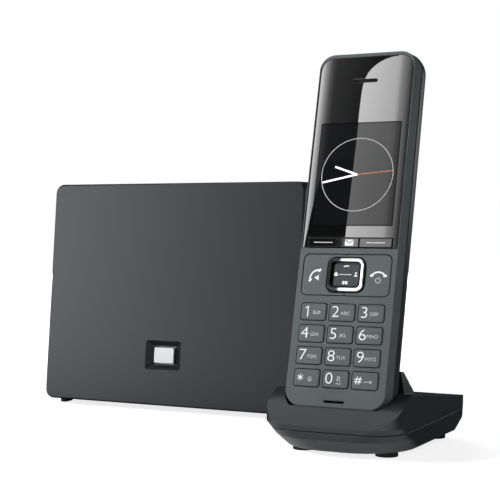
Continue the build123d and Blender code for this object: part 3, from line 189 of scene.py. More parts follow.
def plastic(name, colour, roughness, grain=900.0, grain_depth=0.02, mottle=0.10, edge=0.25,
            radius=0.25, ior=1.46, sheen_tint=(1, 1, 1), spread=0.05):
    """Moulded plastic: fine spark-eroded grain, faint mottling, rounded edges paled by wear and painted highlight.
    """
    material, tree, shader = new_material(name)
    fine = object_noise(tree, grain, 2.0, 0.6)
    normal = rounded_normal(tree, radius)
    add_relief(tree, shader, fine, GRAIN_STRENGTH, grain_depth, normal)
    cloud = object_noise(tree, CLOUD_SCALE, 3.0)
    tone = ramped(tree, cloud, [(0.3, rgba(colour, 1 - mottle)), (0.7, rgba(colour, 1 + mottle))])
    # Paler rims: partly wear, partly a painted highlight along every edge.
    paler = rgba([c * EDGE_GAIN + EDGE_LIFT for c in colour])
    wear_and_highlight = blended(tree, edge_share(tree, normal, edge), tone, paler)
    tree.links.new(wear_and_highlight, shader.inputs["Base Color"])
    gloss = ranged(tree, fine, (0.0, 1.0), (roughness - spread, roughness + spread))
    tree.links.new(gloss, shader.inputs["Roughness"])
    shader.inputs["IOR"].default_value = ior
    shader.inputs["Specular Tint"].default_value = rgba(sheen_tint)
    return material


def glossy(name, colour, roughness, ior=1.5, radius=0.12):
    """Polished plastic or glass: clean surface with very faint smears in its gloss."""
    material, tree, shader = new_material(name)
    smear = object_noise(tree, SMEAR_SCALE, 4.0, 0.6)
    gloss = ranged(tree, smear, (0.35, 0.75), (roughness, roughness * 1.5 + 0.01))
    tree.links.new(gloss, shader.inputs["Roughness"])
    tone = ramped(tree, smear, [(0.0, rgba(colour, 0.9)), (1.0, rgba(colour, 1.1))])
    tree.links.new(tone, shader.inputs["Base Color"])
    tree.links.new(rounded_normal(tree, radius), shader.inputs["Normal"])
    shader.inputs["IOR"].default_value = ior
    return material


def metal(name, colour, roughness, brushed=0.0, radius=0.15):
    """Plated metal, or brushed metal with fine level hairs."""
    material, tree, shader = new_material(name)
    shader.inputs["Metallic"].default_value = 1.0
    stretch = add_node(tree, "ShaderNodeMapping")
    stretch.inputs["Scale"].default_value = (1.0, 1.0, HAIR_STRETCH if brushed else 1.0)
    hairs = add_node(tree, "ShaderNodeTexNoise", Scale=HAIR_SCALE, Detail=3.0)
    tree.links.new(object_place(tree), stretch.inputs["Vector"])
    tree.links.new(stretch.outputs["Vector"], hairs.inputs["Vector"])
    hair = hairs.outputs["Fac"]
    gloss = ranged(tree, hair, (0.0, 1.0), (max(0.02, roughness - 0.04), roughness + 0.06))
    tree.links.new(gloss, shader.inputs["Roughness"])
    tone = ramped(tree, hair, [(0.0, rgba(colour, 0.94)), (1.0, rgba(colour, 1.04))])
    tree.links.new(tone, shader.inputs["Base Color"])
    normal = rounded_normal(tree, radius)
    add_relief(tree, shader, hair, 0.3 * brushed + 0.02, HAIR_DEPTH, normal)
    return material


# Where the ring's painted dark reflection ends and its bright colour starts, as shares of its width.
RING_DARK_END, RING_BRIGHT_START = 0.30, 0.38


def ring_chrome(name, bright, dark):
    """Plated ring with a painted reflection: a dark left part, as if it mirrored a dark room there."""
    material = metal(name, bright, roughness=0.05, radius=0.08)
    tree = material.node_tree
    apart = tree.nodes.new("ShaderNodeSeparateXYZ")
    tree.links.new(object_place(tree), apart.inputs["Vector"])
    across = ranged(tree, apart.outputs["X"], span("rocker_ring", ACROSS))
    stops = [(RING_DARK_END, rgba(dark)), (RING_BRIGHT_START, rgba(bright))]
    tone = ramped(tree, across, stops)
    tree.links.new(tone, tree.nodes["Principled BSDF"].inputs["Base Color"])
    return material


def ink(name, colour, glow):
    """Printed or lit legend."""
    material, tree, shader = new_material(name)
    speckle = object_noise(tree, SPECKLE_SCALE)
    tone = ramped(tree, speckle, [(0.0, rgba(colour, 0.94)), (1.0, rgba(colour))])
    tree.links.new(tone, shader.inputs["Base Color"])
    tree.links.new(tone, shader.inputs["Emission Color"])
    shader.inputs["Emission Strength"].default_value = glow
    shader.inputs["Roughness"].default_value = 0.5
    return material


def circuit_board(name):
    """Green lacquered board with paler copper tracks."""
    material, tree, shader = new_material(name)
    tracks = add_node(tree, "ShaderNodeTexBrick", Scale=260.0)
    tracks.inputs["Color1"].default_value = (0.012, 0.10, 0.035, 1)
    tracks.inputs["Color2"].default_value = (0.014, 0.12, 0.04, 1)
    tracks.inputs["Mortar"].default_value = (0.05, 0.22, 0.07, 1)
    tracks.inputs["Mortar Size"].default_value = 0.04
    tree.links.new(object_place(tree), tracks.inputs["Vector"])
    tree.links.new(tracks.outputs["Color"], shader.inputs["Base Color"])
    shader.inputs["Roughness"].default_value = 0.3
    return material


def cell_wrap(name):
    """Printed sleeve of a rechargeable cell: pale body with a dark band at one end."""
    material, tree, shader = new_material(name)
    along = add_node(tree, "ShaderNodeVectorMath", operation="DOT_PRODUCT")
    along.inputs[1].default_value = tuple(ALONG)
    tree.links.new(object_place(tree), along.inputs[0])
    reach = ranged(tree, along.outputs["Value"], span("battery_left", ALONG))
    pale, dark, tip = (0.55, 0.56, 0.58, 1), (0.03, 0.12, 0.07, 1), (0.6, 0.6, 0.6, 1)
    band = ramped(tree, reach, [(0.0, pale), (0.74, dark), (0.975, tip)], stepped=True)
    tree.links.new(band, shader.inputs["Base Color"])
    shader.inputs["Roughness"].default_value = 0.28
    shader.inputs["Metallic"].default_value = 0.4
    return material


MATERIALS = {
    "shell_grey": plastic("shell_grey", (0.078, 0.094, 0.097), 0.38, edge=0.12, radius=0.35),
    "key_grey": plastic("key_grey", (0.086, 0.103, 0.107), 0.38, edge=0.0, radius=0.55),
    "rear_black": plastic("rear_black", (0.024, 0.027, 0.030), 0.32, edge=0.15, radius=0.4),
    "lens_black": glossy("lens_black", (0.003, 0.0035, 0.0035), 0.0, ior=1.8, radius=0.2),
    "display_dark": glossy("display_dark", (0.008, 0.0085, 0.0095), 0.0, ior=1.32),
    "soft_key_black": glossy("soft_key_black", (0.006, 0.006, 0.006), 0.04, radius=0.4),
    "chrome_trim": ring_chrome("chrome_trim", (0.60, 0.61, 0.62), (0.05, 0.055, 0.06)),
    "pad_grey": plastic("pad_grey", (0.030, 0.036, 0.038), 0.35, edge=0.4),
    "cradle_grey": plastic("cradle_grey", (0.022, 0.026, 0.027), 0.26, edge=0.3, radius=0.45,
                           grain_depth=0.0006, ior=1.5, sheen_tint=(0.92, 0.98, 1.0),
                           spread=0.01),
    "cradle_black": plastic("cradle_black", (0.015, 0.018, 0.021), 0.16, edge=0.2, radius=0.6,
                            grain_depth=0.001, ior=1.52, sheen_tint=(0.90, 0.96, 1.0),
                            spread=0.02),
    "base_charcoal": plastic("base_charcoal", (0.0155, 0.0165, 0.0185), 0.31, edge=0.35,
                             radius=0.35, mottle=0.04, ior=1.41, sheen_tint=(0.88, 0.93, 1.0)),
    "base_rear_charcoal": plastic("base_rear_charcoal", (0.026, 0.027, 0.030), 0.42, edge=0.2,
                                  radius=0.4),
    "page_silver": metal("page_silver", (0.55, 0.56, 0.57), 0.50, radius=0.3),
    "rubber_black": plastic("rubber_black", (0.012, 0.012, 0.012), 0.75, grain=400.0, edge=0.1),
    "silicone_grey": plastic("silicone_grey", (0.16, 0.16, 0.16), 0.6),
    "board_green": circuit_board("board_green"),
    "contact_metal": metal("contact_metal", (0.78, 0.66, 0.40), 0.22, brushed=0.5),
    "screw_steel": metal("screw_steel", (0.42, 0.42, 0.43), 0.3, brushed=0.6),
    "battery_silver": cell_wrap("battery_silver"),
    "speaker_black": plastic("speaker_black", (0.02, 0.02, 0.02), 0.55),
    "socket_black": plastic("socket_black", (0.008, 0.008, 0.009), 0.4, edge=0.15),
}
WHITE_INK = ink("legend_white", (0.80, 0.82, 0.82), 0.25)
PALE_INK = ink("legend_pale", (0.58, 0.62, 0.63), 0.12)
DISPLAY_BORDER = glossy("display_border", (0.004, 0.004, 0.005), 0.0, ior=1.25)
CLOCK_WHITE = ink("clock_white", (0.9, 0.9, 0.9), 0.7)
CLOCK_RING = ink("clock_ring", (0.50, 0.50, 0.50), 0.15)
CLOCK_ORANGE = ink("clock_orange", (0.62, 0.20, 0.06), 0.25)
SLOT_OF = {part["node"]: part["material_slot"] for part in frame["record"]["subparts"]}


def dress_nodes():
    """Gives every CAD node its own slot's material."""
    for node, piece in NODES.items():
        piece.data.materials.clear()
        piece.data.materials.append(MATERIALS[SLOT_OF[node]])


# ---------------------------------------------------------------- flat drawings
CAP_HEIGHT_SHARE = 0.70
INK_THICKNESS = 0.03
CORNER_STEPS = 4


def join_meshes(name, meshes, place, material):
    """One object from several flat meshes, laid at a place in the shared frame."""
    build = bmesh.new()
    for mesh in meshes:
        build.from_mesh(mesh)
        bpy.data.meshes.remove(mesh)
    build.transform(place)
    data = bpy.data.meshes.new(name)
    build.to_mesh(data)
    build.free()
    data.materials.append(material)
    piece = bpy.data.objects.new(name, data)
    SCENE.collection.objects.link(piece)
    return piece


def curve_to_mesh(curve):
    """Mesh of a curve or text datablock."""
    holder = bpy.data.objects.new("drawing", curve)
    SCENE.collection.objects.link(holder)
    bpy.context.view_layer.update()
    seen = holder.evaluated_get(bpy.context.evaluated_depsgraph_get())
    mesh = bpy.data.meshes.new_from_object(seen)
    bpy.data.objects.remove(holder)
    return mesh


def filled(loops, thickness):
    """Mesh of one filled shape with holes; loops are lists of points in millimetres."""
    curve = bpy.data.curves.new("shape", "CURVE")
    curve.dimensions = "2D"
    curve.fill_mode = "BOTH"
    curve.extrude = thickness * MM / 2
    for loop in loops:
        spline = curve.splines.new("POLY")
        spline.points.add(len(loop) - 1)
        for point, (x, y) in zip(spline.points, loop):
            point.co = (x * MM, y * MM, 0, 1)
        spline.use_cyclic_u = True
    return curve_to_mesh(curve)


def lettering(text, size, thin=0.0):
    """Mesh of centred printed letters; size is the cap height in millimetres."""
    curve = bpy.data.curves.new("letters", "FONT")
    curve.body = text
    curve.size = size * MM / CAP_HEIGHT_SHARE
    curve.align_x = "CENTER"
    curve.align_y = "CENTER"
    curve.extrude = INK_THICKNESS * MM / 2
    curve.offset = -thin * MM
    curve.resolution_u = 4
    return curve_to_mesh(curve)


def moved(mesh, x, y):
    """Shifts a flat mesh by millimetres."""
    mesh.transform(Matrix.Translation((x * MM, y * MM, 0)))
    return mesh


def stroke(points, width):
    """Outline of a line of even width with square ends."""
    left, right = [], []
    count = len(points)
    for number, (x, y) in enumerate(points):
        before = Vector(points[max(number - 1, 0)])
        after = Vector(points[min(number + 1, count - 1)])
        way = (after - before).normalized()
        side = Vector((-way.y, way.x)) * width / 2
        left.append((x + side.x, y + side.y))
        right.append((x - side.x, y - side.y))
    return left + right[::-1]


def arc(x, y, radius, start, end, steps):
    """Points along a circular arc, angles in degrees."""
    points = []
    for step in range(steps + 1):
        angle = radians(start + (end - start) * step / steps)
        points.append((x + radius * cos(angle), y + radius * sin(angle)))
    return points


def circle(x, y, radius, steps):
    """Points round a full circle."""
    return arc(x, y, radius, 0, 360 - 360 / steps, steps - 1)


def rounded(x, y, width, height, radius):
    """Rounded rectangle as a loop of points."""
    points = []
    for number, (sx, sy) in enumerate(((1, 1), (-1, 1), (-1, -1), (1, -1))):
        cx = x + sx * (width / 2 - radius)
        cy = y + sy * (height / 2 - radius)
        points += arc(cx, cy, radius, 90 * number, 90 * number + 90, CORNER_STEPS)
    return points


def inlay(name, meshes, place, body, material):
    """Thin drawing that rides on a body."""
    piece = join_meshes(name, meshes, place, material)
    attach(piece, body)
    return piece


# ---------------------------------------------------------------- key legends
FIGURE_HEIGHT = 4.5
FIGURE_WIDENING = 1.12
FIGURE_THINNING = 0.08
FIGURE_X = -2.75
SIGN_X, SIGN_Y = 1.35, -0.4
SMALL_LETTER_HEIGHT = 1.32
SMALL_LETTER_WIDTH = {3: 1.08, 4: 0.86}


def inked(*loops):
    """Mesh of one printed shape; the loops after the first are its holes."""
    return filled(loops, INK_THICKNESS)


def voicemail_icon():
    """Two tape reels on a line."""
    reels = [inked(circle(x, 0.1, 0.62, 16), circle(x, 0.1, 0.38, 16)) for x in (-0.95, 0.95)]
    return reels + [inked(stroke([(-0.95, -0.42), (0.95, -0.42)], 0.22))]


def bell_icon():
    """Outlined bell with its clapper."""
    dome = [(-0.85, -0.7), (-0.6, -0.3)] + arc(0, 0.25, 0.6, 180, 0, 10)
    dome += [(0.6, -0.3), (0.85, -0.7)]
    inner = [(-0.5, -0.48), (-0.36, -0.2)] + arc(0, 0.25, 0.36, 180, 0, 8)
    inner += [(0.36, -0.2), (0.5, -0.48)]
    return [inked(dome, inner), inked(circle(0, -0.95, 0.2, 10))]


def padlock_key_icon():
    """Small key lying down, for the key lock."""
    bow = inked(circle(1.0, 0, 0.55, 16), circle(1.0, 0, 0.28, 16))
    stem = inked(stroke([(-1.5, 0), (0.45, 0)], 0.24))
    return [bow, stem, inked(stroke([(-1.3, 0), (-1.3, -0.45)], 0.24))]


def recall_icon():
    """Underlined R, for recall."""
    letter = moved(lettering("R", 2.2, 0.04), 0, 0.35)
    return [letter, inked(stroke([(-1.1, -1.35), (1.1, -1.35)], 0.24))]


def small_letters(text):
    """Small letters beside a figure."""
    letters = lettering(text, SMALL_LETTER_HEIGHT)
    letters.transform(Matrix.Diagonal((SMALL_LETTER_WIDTH[len(text)], 1.0, 1.0, 1.0)))
    return [letters]


def flagged_one():
    """Figure one with its flag, which plain sans figures of telephones have."""
    top = FIGURE_HEIGHT / 2
    stem = stroke([(0.35, -top), (0.35, top)], 0.5)
    return [stem, stroke([(-0.75, top - 1.0), (0.35, top - 0.2)], 0.45)]


def star():
    """Three crossed strokes."""
    tips = [(1.3 * cos(radians(turn)), 1.3 * sin(radians(turn))) for turn in (90, 30, -30)]
    return [stroke([(-x, -y), (x, y)], 0.36) for x, y in tips]


def hash_sign():
    """Two slanted and two level strokes."""
    bars = [stroke([(x - 0.3, -1.5), (x + 0.3, 1.5)], 0.36) for x in (-0.6, 0.6)]
    return bars + [stroke([(-1.5, y), (1.5, y)], 0.36) for y in (-0.5, 0.5)]


KEY_LEGENDS = {
    "key_1": ("1", voicemail_icon, ()),
    "key_2": ("2", small_letters, ("ABC",)),
    "key_3": ("3", small_letters, ("DEF",)),
    "key_4": ("4", small_letters, ("GHI",)),
    "key_5": ("5", small_letters, ("JKL",)),
    "key_6": ("6", small_letters, ("MNO",)),
    "key_7": ("7", small_letters, ("PQRS",)),
    "key_8": ("8", small_letters, ("TUV",)),
    "key_9": ("9", small_letters, ("WXYZ",)),
    "key_star": ("*", bell_icon, ()),
    "key_0": ("0", recall_icon, ()),
    "key_hash": ("#", padlock_key_icon, ()),
}


def key_figure(figure):
    """Thin, slightly wide figure of a key."""
    drawn_by_hand = {"1": flagged_one, "*": star, "#": hash_sign}
    if figure in drawn_by_hand:
        return [inked(loop) for loop in drawn_by_hand[figure]()]
    drawn = lettering(figure, FIGURE_HEIGHT, FIGURE_THINNING)
    drawn.transform(Matrix.Diagonal((FIGURE_WIDENING, 1.0, 1.0, 1.0)))
    return [drawn]


def add_key_legends():
    """Figure on the left of each key and its small letters or sign on the right."""
    for key, (figure, sign, words) in KEY_LEGENDS.items():
        place = node_face(key, FIGURE_X)
        inlay(key + "_figure", key_figure(figure), place, key, WHITE_INK)
        place = node_face(key, SIGN_X, SIGN_Y)
        inlay(key + "_sign", sign(*words), place, key, PALE_INK)


def receiver_sign():
    """Telephone receiver: a thin arched bar with a cup at each end, about 7 mm across."""
    bar = stroke(arc(0, -3.1, 3.5, 142, 38, 12), 0.65)
    left = rounded(-2.75, -1.05, 1.5, 0.95, 0.3)
    right = rounded(2.75, -1.05, 1.5, 0.95, 0.3)
    return [inked(loop) for loop in (bar, left, right)]


TALK_SIGN_X, TALK_SIGN_Y = -4.5, 0.4
TALK_SIGN_TURN = 47
END_SIGN_X, END_SIGN_Y = 3.9, 1.0
POWER_SIGN_Y = -2.9


def add_talk_sign():
    """Lifted receiver with a loudspeaker on the talk key."""
    receiver = receiver_sign()
    for mesh in receiver:
        mesh.transform(Matrix.Rotation(radians(TALK_SIGN_TURN), 4, "Z"))
    horn = [(-1.0, -0.45), (-0.35, -0.45), (0.6, -1.3), (0.6, 1.3), (-0.35, 0.45), (-1.0, 0.45)]
    signs = receiver + [moved(inked(horn), 1.9, -1.7)]
    place = node_face("talk_key", TALK_SIGN_X, TALK_SIGN_Y)
    inlay("talk_key_sign", signs, place, "talk_key", WHITE_INK)


def add_end_sign():
    """Receiver laid down, with a power sign under it, on the end key."""
    place = node_face("end_key", END_SIGN_X, END_SIGN_Y)
    inlay("end_key_sign", receiver_sign(), place, "end_key", WHITE_INK)
    ring = inked(stroke(arc(0, 0, 1.05, 120, 420, 20), 0.26))
    tick = inked(stroke([(0, 0.2), (0, 1.3)], 0.26))
    signs = [moved(mesh, 0, POWER_SIGN_Y) for mesh in (ring, tick)]
    inlay("end_key_power_sign", signs, place, "end_key", PALE_INK)


def add_rocker_signs():
    """Small signs at the four sides of the rocker pad and the dash at its middle."""
    house = inked([(-0.8, -0.8), (0.8, -0.8), (0.8, 0.1), (0, 0.9), (-0.8, 0.1)])
    person = [inked(circle(0, 0.5, 0.42, 12)), inked(arc(0, -0.85, 0.75, 0, 180, 10))]
    wave = inked(stroke([(-1.1, 0.0), (-0.4, 0.35), (1.1, 0.35)], 0.5))
    book = [inked(rounded(x, 0, 1.0, 1.3, 0.12)) for x in (-0.62, 0.62)]
    dash = inked(rounded(0, 0, 5.2, 0.26, 0.12))
    signs = [moved(house, -4.4, 0.4)]
    signs += [moved(mesh, 4.0, 0.3) for mesh in person]
    signs.append(moved(wave, -0.3, 3.3))
    signs += [moved(mesh, -0.3, -3.1) for mesh in book]
    signs.append(moved(dash, -0.4, 0.2))
    place = node_face("rocker_pad")
    inlay("rocker_pad_signs", signs, place, "rocker_pad", WHITE_INK)


FLAP_LIFT = 0.05


def add_display_key_signs():
    """White dashes on the two outer display keys and an envelope on the middle one."""
    for key in ("left_display_key", "right_display_key"):
        dash = inked(rounded(0, 0, 7.9, 0.26, 0.12))
        inlay(key + "_dash", [dash], node_face(key), key, WHITE_INK)
    flap = inked(stroke([(-1.5, 0.95), (0, -0.25), (1.5, 0.95)], 0.34))
    paper = inked(rounded(0, 0, 3.6, 2.5, 0.15))
    place = node_face("message_key")
    inlay("message_key_paper", [paper], place, "message_key", WHITE_INK)
    black = MATERIALS["soft_key_black"]
    place = node_face("message_key", lift=FLAP_LIFT)
    inlay("message_key_flap", [flap], place, "message_key", black)


# ---------------------------------------------------------------- lens and display
CROWN_REACH = 7.0
CROWN_DROP = 0.45
CROWN_POWER = 2.6
CROWN_CUTS = 10
CUT_CROWDING = 1.5
LENS_SKIN = 0.1
WELD_DISTANCE = 0.000001
SHARP_ANGLE = 25


def cut_near_sides(build, left, right):
    """Cuts a mesh across, finer towards its two sides."""
    for cut in range(1, CROWN_CUTS + 1):
        inset = CROWN_REACH * MM * (cut / CROWN_CUTS) ** CUT_CROWDING
        for place in (left + inset, right - inset):
            parts = build.verts[:] + build.edges[:] + build.faces[:]
            bmesh.ops.bisect_plane(build, geom=parts, plane_co=ACROSS * place, plane_no=ACROSS)


def crown(data, skin):
    """Lets the front skin of a mesh on the lens fall back towards the lens's sides."""
    left, right = span("display_lens", ACROSS)
    front = span("display_lens", INWARD)[0]
    build = bmesh.new()
    build.from_mesh(data)
    bmesh.ops.remove_doubles(build, verts=build.verts[:], dist=WELD_DISTANCE)
    cut_near_sides(build, left, right)
    for vertex in build.verts:
        inside = min(vertex.co.x - left, right - vertex.co.x)
        share = min(1.0, max(0.0, 1 - inside / (CROWN_REACH * MM)))
        if vertex.co.dot(INWARD) < front + skin * MM:
            vertex.co += INWARD * CROWN_DROP * MM * share ** CROWN_POWER
    build.to_mesh(data)
    build.free()
    data.shade_smooth()
    data.set_sharp_from_angle(angle=radians(SHARP_ANGLE))


def add_lens():
    """Glossy lens over the upper half of the handset, softly crowned towards its sides."""
    data = NODES["display_lens"].data.copy()
    crown(data, LENS_SKIN)
    lens = bpy.data.objects.new("crowned_lens", data)
    SCENE.collection.objects.link(lens)
    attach(lens, "handset")
    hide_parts("display_lens")


FILM = 0.01
FILM_SKIN = 1.0
FILM_LIFT = 0.008
FILM_STEP = 0.008
HAND_STEP = 0.006
DISPLAY_CORNER, INNER_CORNER = 0.4, 0.3
BORDER_WIDTH = 0.65
CLOCK_X, CLOCK_Y, CLOCK_RADIUS = 0.35, -0.35, 15.4
CLOCK_STEPS = 96
CLOCK_RING_WIDTH = 0.3
HAND_WIDTH, SECOND_HAND_WIDTH = 0.8, 0.32


def film(*loops):
    """Mesh of one thin shape on the display; the loops after the first are its holes."""
    return filled(loops, FILM)


def on_clock(*loops):
    """Mesh of one thin shape, drawn round the clock's middle."""
    return moved(film(*loops), CLOCK_X, CLOCK_Y)


def display_layer(name, meshes, lift, material):
    """Thin film that lies on the lens over the display and follows its crown."""
    front = span("display_lens", INWARD)[0] - lift * MM
    place = face_place(middle("display_module", ACROSS), middle("display_module", ALONG), front)
    piece = inlay(name, meshes, place, "handset", material)
    crown(piece.data, FILM_SKIN)


def add_display():
    """Dark window of the display, its border and a plain analogue clock."""
    left, right = span("display_module", ACROSS)
    low, high = span("display_module", ALONG)
    width, height = (right - left) / MM, (high - low) / MM
    edge = rounded(0, 0, width, height, DISPLAY_CORNER)
    inner_width, inner_height = width - 2 * BORDER_WIDTH, height - 2 * BORDER_WIDTH
    inner = rounded(0, 0, inner_width, inner_height, INNER_CORNER)
    ring = circle(0, 0, CLOCK_RADIUS, CLOCK_STEPS)
    ring_inside = circle(0, 0, CLOCK_RADIUS - CLOCK_RING_WIDTH, CLOCK_STEPS)
    hour = stroke([(0.2, -0.1), (-9.7, 3.4)], HAND_WIDTH)
    minute = stroke([(0.2, 0.05), (-14.6, -3.2)], HAND_WIDTH)
    second = stroke([(0, 0), (15.0, 1.4)], SECOND_HAND_WIDTH)
    ring_lift = FILM_LIFT + 2 * FILM_STEP
    hands = [on_clock(hour), on_clock(minute)]

    display_layer("display_window", [film(edge)], FILM_LIFT, MATERIALS["display_dark"])
    display_layer("display_border", [film(edge, inner)], FILM_LIFT + FILM_STEP, DISPLAY_BORDER)
    display_layer("clock_ring", [on_clock(ring, ring_inside)], ring_lift, CLOCK_RING)
    display_layer("clock_hands", hands, ring_lift + HAND_STEP, CLOCK_WHITE)
    display_layer("clock_second_hand", [on_clock(second)], ring_lift + 2 * HAND_STEP, CLOCK_ORANGE)


# ---------------------------------------------------------------- floor and surround
FLOOR_SIZE = 6.0
FLOOR_ALBEDO = 0.70
FLOOR_GLOW = 0.78
FLOOR_NEAR, FLOOR_FAR = 0.20, 0.55
MIRROR_FRONT, MIRROR_BACK = -0.16, -0.02
MIRROR_BRIGHT, MIRROR_DIM = 2.2, 0.03
WORLD_LIGHT = 0.03


def mixed(tree, share, first, second):
    """Shader socket that goes from one shader to another."""
    mix = tree.nodes.new("ShaderNodeMixShader")
    tree.links.new(share, mix.inputs["Fac"])
    tree.links.new(first, mix.inputs[1])
    tree.links.new(second, mix.inputs[2])
    return mix.outputs["Shader"]


def floor_material():
    """Pale and plain to the eye, bright in front and dim behind where gloss mirrors it."""
    material, tree, shader = new_material("floor_white")
    shader.inputs["Base Color"].default_value = rgba((FLOOR_ALBEDO,) * 3)
    shader.inputs["Roughness"].default_value = 0.9
    shader.inputs["Specular IOR Level"].default_value = 0.0
    shader.inputs["Emission Color"].default_value = rgba((1, 1, 1))
    place = object_place(tree)
    path = tree.nodes.new("ShaderNodeLightPath")

    distance = add_node(tree, "ShaderNodeVectorMath", operation="LENGTH")
    tree.links.new(place, distance.inputs[0])
    fade = ranged(tree, distance.outputs["Value"], (FLOOR_NEAR, FLOOR_FAR), (FLOOR_GLOW, 1.0),
                  interpolation_type="SMOOTHSTEP")
    seen = add_node(tree, "ShaderNodeMath", operation="MULTIPLY")
    tree.links.new(fade, seen.inputs[0])
    tree.links.new(path.outputs["Is Camera Ray"], seen.inputs[1])
    tree.links.new(seen.outputs["Value"], shader.inputs["Emission Strength"])

    apart = tree.nodes.new("ShaderNodeSeparateXYZ")
    shine = tree.nodes.new("ShaderNodeEmission")
    tree.links.new(place, apart.inputs["Vector"])
    mirrored = ranged(tree, apart.outputs["Y"], (MIRROR_FRONT, MIRROR_BACK),
                      (MIRROR_BRIGHT, MIRROR_DIM))
    tree.links.new(mirrored, shine.inputs["Strength"])
    surface = mixed(tree, path.outputs["Is Glossy Ray"], shader.outputs["BSDF"],
                    shine.outputs["Emission"])
    tree.links.new(surface, tree.nodes["Material Output"].inputs["Surface"])
    return material


def add_floor():
    """Pale floor that runs out of view."""
    reach = FLOOR_SIZE
    corners = [(-reach, -reach, 0), (reach, -reach, 0), (reach, reach, 0), (-reach, reach, 0)]
    data = bpy.data.meshes.new("floor")
    data.from_pydata(corners, [], [(0, 1, 2, 3)])
    data.materials.append(floor_material())
    floor = bpy.data.objects.new("floor", data)
    SCENE.collection.objects.link(floor)


def add_surround():
    """White surround to the eye that lights the set only faintly."""
    world = bpy.data.worlds.new("surround")
    world.use_nodes = True
    SCENE.world = world
    tree = world.node_tree
    ground = tree.nodes["Background"]
    ground.inputs["Color"].default_value = rgba((1, 1, 1))
    ground.inputs["Strength"].default_value = WORLD_LIGHT
    seen = add_node(tree, "ShaderNodeBackground", Color=rgba((1, 1, 1)), Strength=1.0)
    path = tree.nodes.new("ShaderNodeLightPath")
    surface = mixed(tree, path.outputs["Is Camera Ray"], ground.outputs["Background"],
                    seen.outputs["Background"])
    tree.links.new(surface, tree.nodes["World Output"].inputs["Surface"])


# ---------------------------------------------------------------- lights and mirrored cards
# Each light: its place, the point it is aimed at, width, height, watts, whether gloss shows it.
LIGHTS = {
    "key_left": ((-0.75, -0.62, 0.50), (-0.06, 0, 0.09), 0.40, 0.40, 9, False),
    "front_low": ((0.12, -1.00, 0.14), (0.07, 0, 0.03), 0.35, 0.16, 2.6, False),
    "fill_right": ((0.9, -0.2, 0.30), (0.08, 0.02, 0.06), 0.30, 0.50, 1.0, False),
    "flank_strip": ((0.36, 0.70, 0.17), (0.08, 0.02, 0.10), 0.16, 0.16, 0.10, True),
    "rear_left": ((-0.70, 1.30, 0.34), (-0.04, 0.03, 0.06), 0.70, 0.50, 22, False),
    "rear_right": ((0.95, 0.75, 0.14), (0.05, 0.03, 0.07), 0.40, 0.24, 5, False),
}
CARD_LEFT, CARD_RIGHT = -1.3, 0.3
CARD_GAIN = 8.0
RIGHT_CARD_Y, LEFT_CARD_Y, CEILING_Z = -0.9, -0.92, 1.1
RIGHT_GLOW = [(-0.335, 6.6), (-0.29, 5.0), (-0.20, 2.4), (0.05, 0.3)]
LEFT_GLOW = [(-1.0, 7.0), (-0.80, 6.0), (-0.64, 3.2), (-0.48, 1.0), (-0.39, 0.3), (-0.33, 0.08),
             (-0.2, 0.0)]
CEILING_GLOW = [(-0.7, 1.3), (0.29, 1.0)]


def area_light(name, place, target, width, height, power, mirrored):
    """Soft box aimed at a point."""
    light = bpy.data.lights.new(name, "AREA")
    light.shape = "RECTANGLE"
    light.size = width
    light.size_y = height
    light.energy = power
    lamp = bpy.data.objects.new(name, light)
    lamp.location = place
    way = Vector(target) - Vector(place)
    lamp.rotation_euler = way.to_track_quat("-Z", "Y").to_euler()
    lamp.visible_camera = False
    lamp.visible_glossy = mirrored
    SCENE.collection.objects.link(lamp)


def upright(y):
    """Place of an upright card in front of the set."""
    return Matrix.Translation((0, y, 0)) @ Matrix.Rotation(radians(90), 4, "X")


def overhead(z):
    """Place of a level card above the set."""
    return Matrix.Translation((0, 0, z))


def card_material(name, glow):
    """Glow that changes from the card's left to its right."""
    material, tree, shader = new_material(name)
    shader.inputs["Base Color"].default_value = rgba((0, 0, 0))
    shader.inputs["Specular IOR Level"].default_value = 0.0
    shader.inputs["Emission Strength"].default_value = CARD_GAIN
    apart = tree.nodes.new("ShaderNodeSeparateXYZ")
    tree.links.new(object_place(tree), apart.inputs["Vector"])
    across = ranged(tree, apart.outputs["X"], (CARD_LEFT, CARD_RIGHT))
    stops = [((x - CARD_LEFT) / (CARD_RIGHT - CARD_LEFT), (value / CARD_GAIN,) * 3 + (1,))
             for x, value in glow]
    tree.links.new(ramped(tree, across, stops), shader.inputs["Emission Color"])
    return material


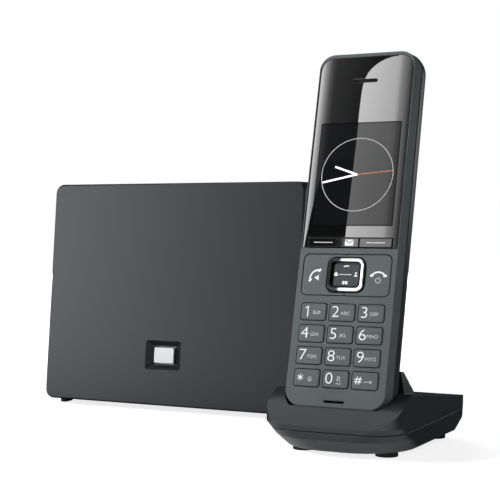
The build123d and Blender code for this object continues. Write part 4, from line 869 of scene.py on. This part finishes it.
def reflector(name, outline, place, glow):
    """Card that only shows as a reflection; glow lists its brightness at places across."""
    mesh = filled([outline], 0.0)
    mesh.transform(place)
    mesh.materials.append(card_material(name, glow))
    card = bpy.data.objects.new(name, mesh)
    SCENE.collection.objects.link(card)
    card.visible_camera = False
    card.visible_diffuse = False
    card.visible_shadow = False


def add_lights():
    """Soft studio light from the left, front, right and behind."""
    for name, values in LIGHTS.items():
        area_light(name, *values)


def add_cards():
    """Cards that the lens, the base and the cradle's lip mirror."""
    softbox = [(-306, 440), (-312, 540), (-335, 800)] + arc(-290, 806, 45, 176, 92, 8)
    softbox += [(160, 880), (160, 440)]
    low_card = [(-1200, 30), (300, 30), (300, 500), (-1200, 500)]
    high_card = [(-1200, 535), (-330, 705), (300, 705), (300, 1300), (-1200, 1300)]
    ceiling = [(-700, -600), (290, -600), (290, 450), (-700, 450)]
    reflector("right_softbox", softbox, upright(RIGHT_CARD_Y), RIGHT_GLOW)
    reflector("left_softbox_low", low_card, upright(LEFT_CARD_Y), LEFT_GLOW)
    reflector("left_softbox_high", high_card, upright(LEFT_CARD_Y), LEFT_GLOW)
    reflector("ceiling_card", ceiling, overhead(CEILING_Z), CEILING_GLOW)


# ---------------------------------------------------------------- camera
CAMERA_PLACE = (0.25440, -0.49457, 0.09216)
CAMERA_AZIMUTH = 25.80
CAMERA_PITCH = -1.436
FOCAL_PIXELS = 1234.96
FRAME_PIXELS = 500
SENSOR = 36.0


def add_camera():
    """Camera at the viewing angle of the reference view."""
    data = bpy.data.cameras.new("camera")
    data.sensor_width = SENSOR
    data.lens = FOCAL_PIXELS / FRAME_PIXELS * SENSOR
    camera = bpy.data.objects.new("camera", data)
    camera.location = CAMERA_PLACE
    camera.rotation_euler = Euler((radians(90 + CAMERA_PITCH), 0, radians(CAMERA_AZIMUTH)))
    SCENE.collection.objects.link(camera)
    SCENE.camera = camera


add_camera()
SCENE.view_settings.view_transform = "Standard"
dress_nodes()
add_key_legends()
add_talk_sign()
add_end_sign()
add_rocker_signs()
add_display_key_signs()
add_lens()
add_display()
add_floor()
add_surround()
add_lights()
add_cards()
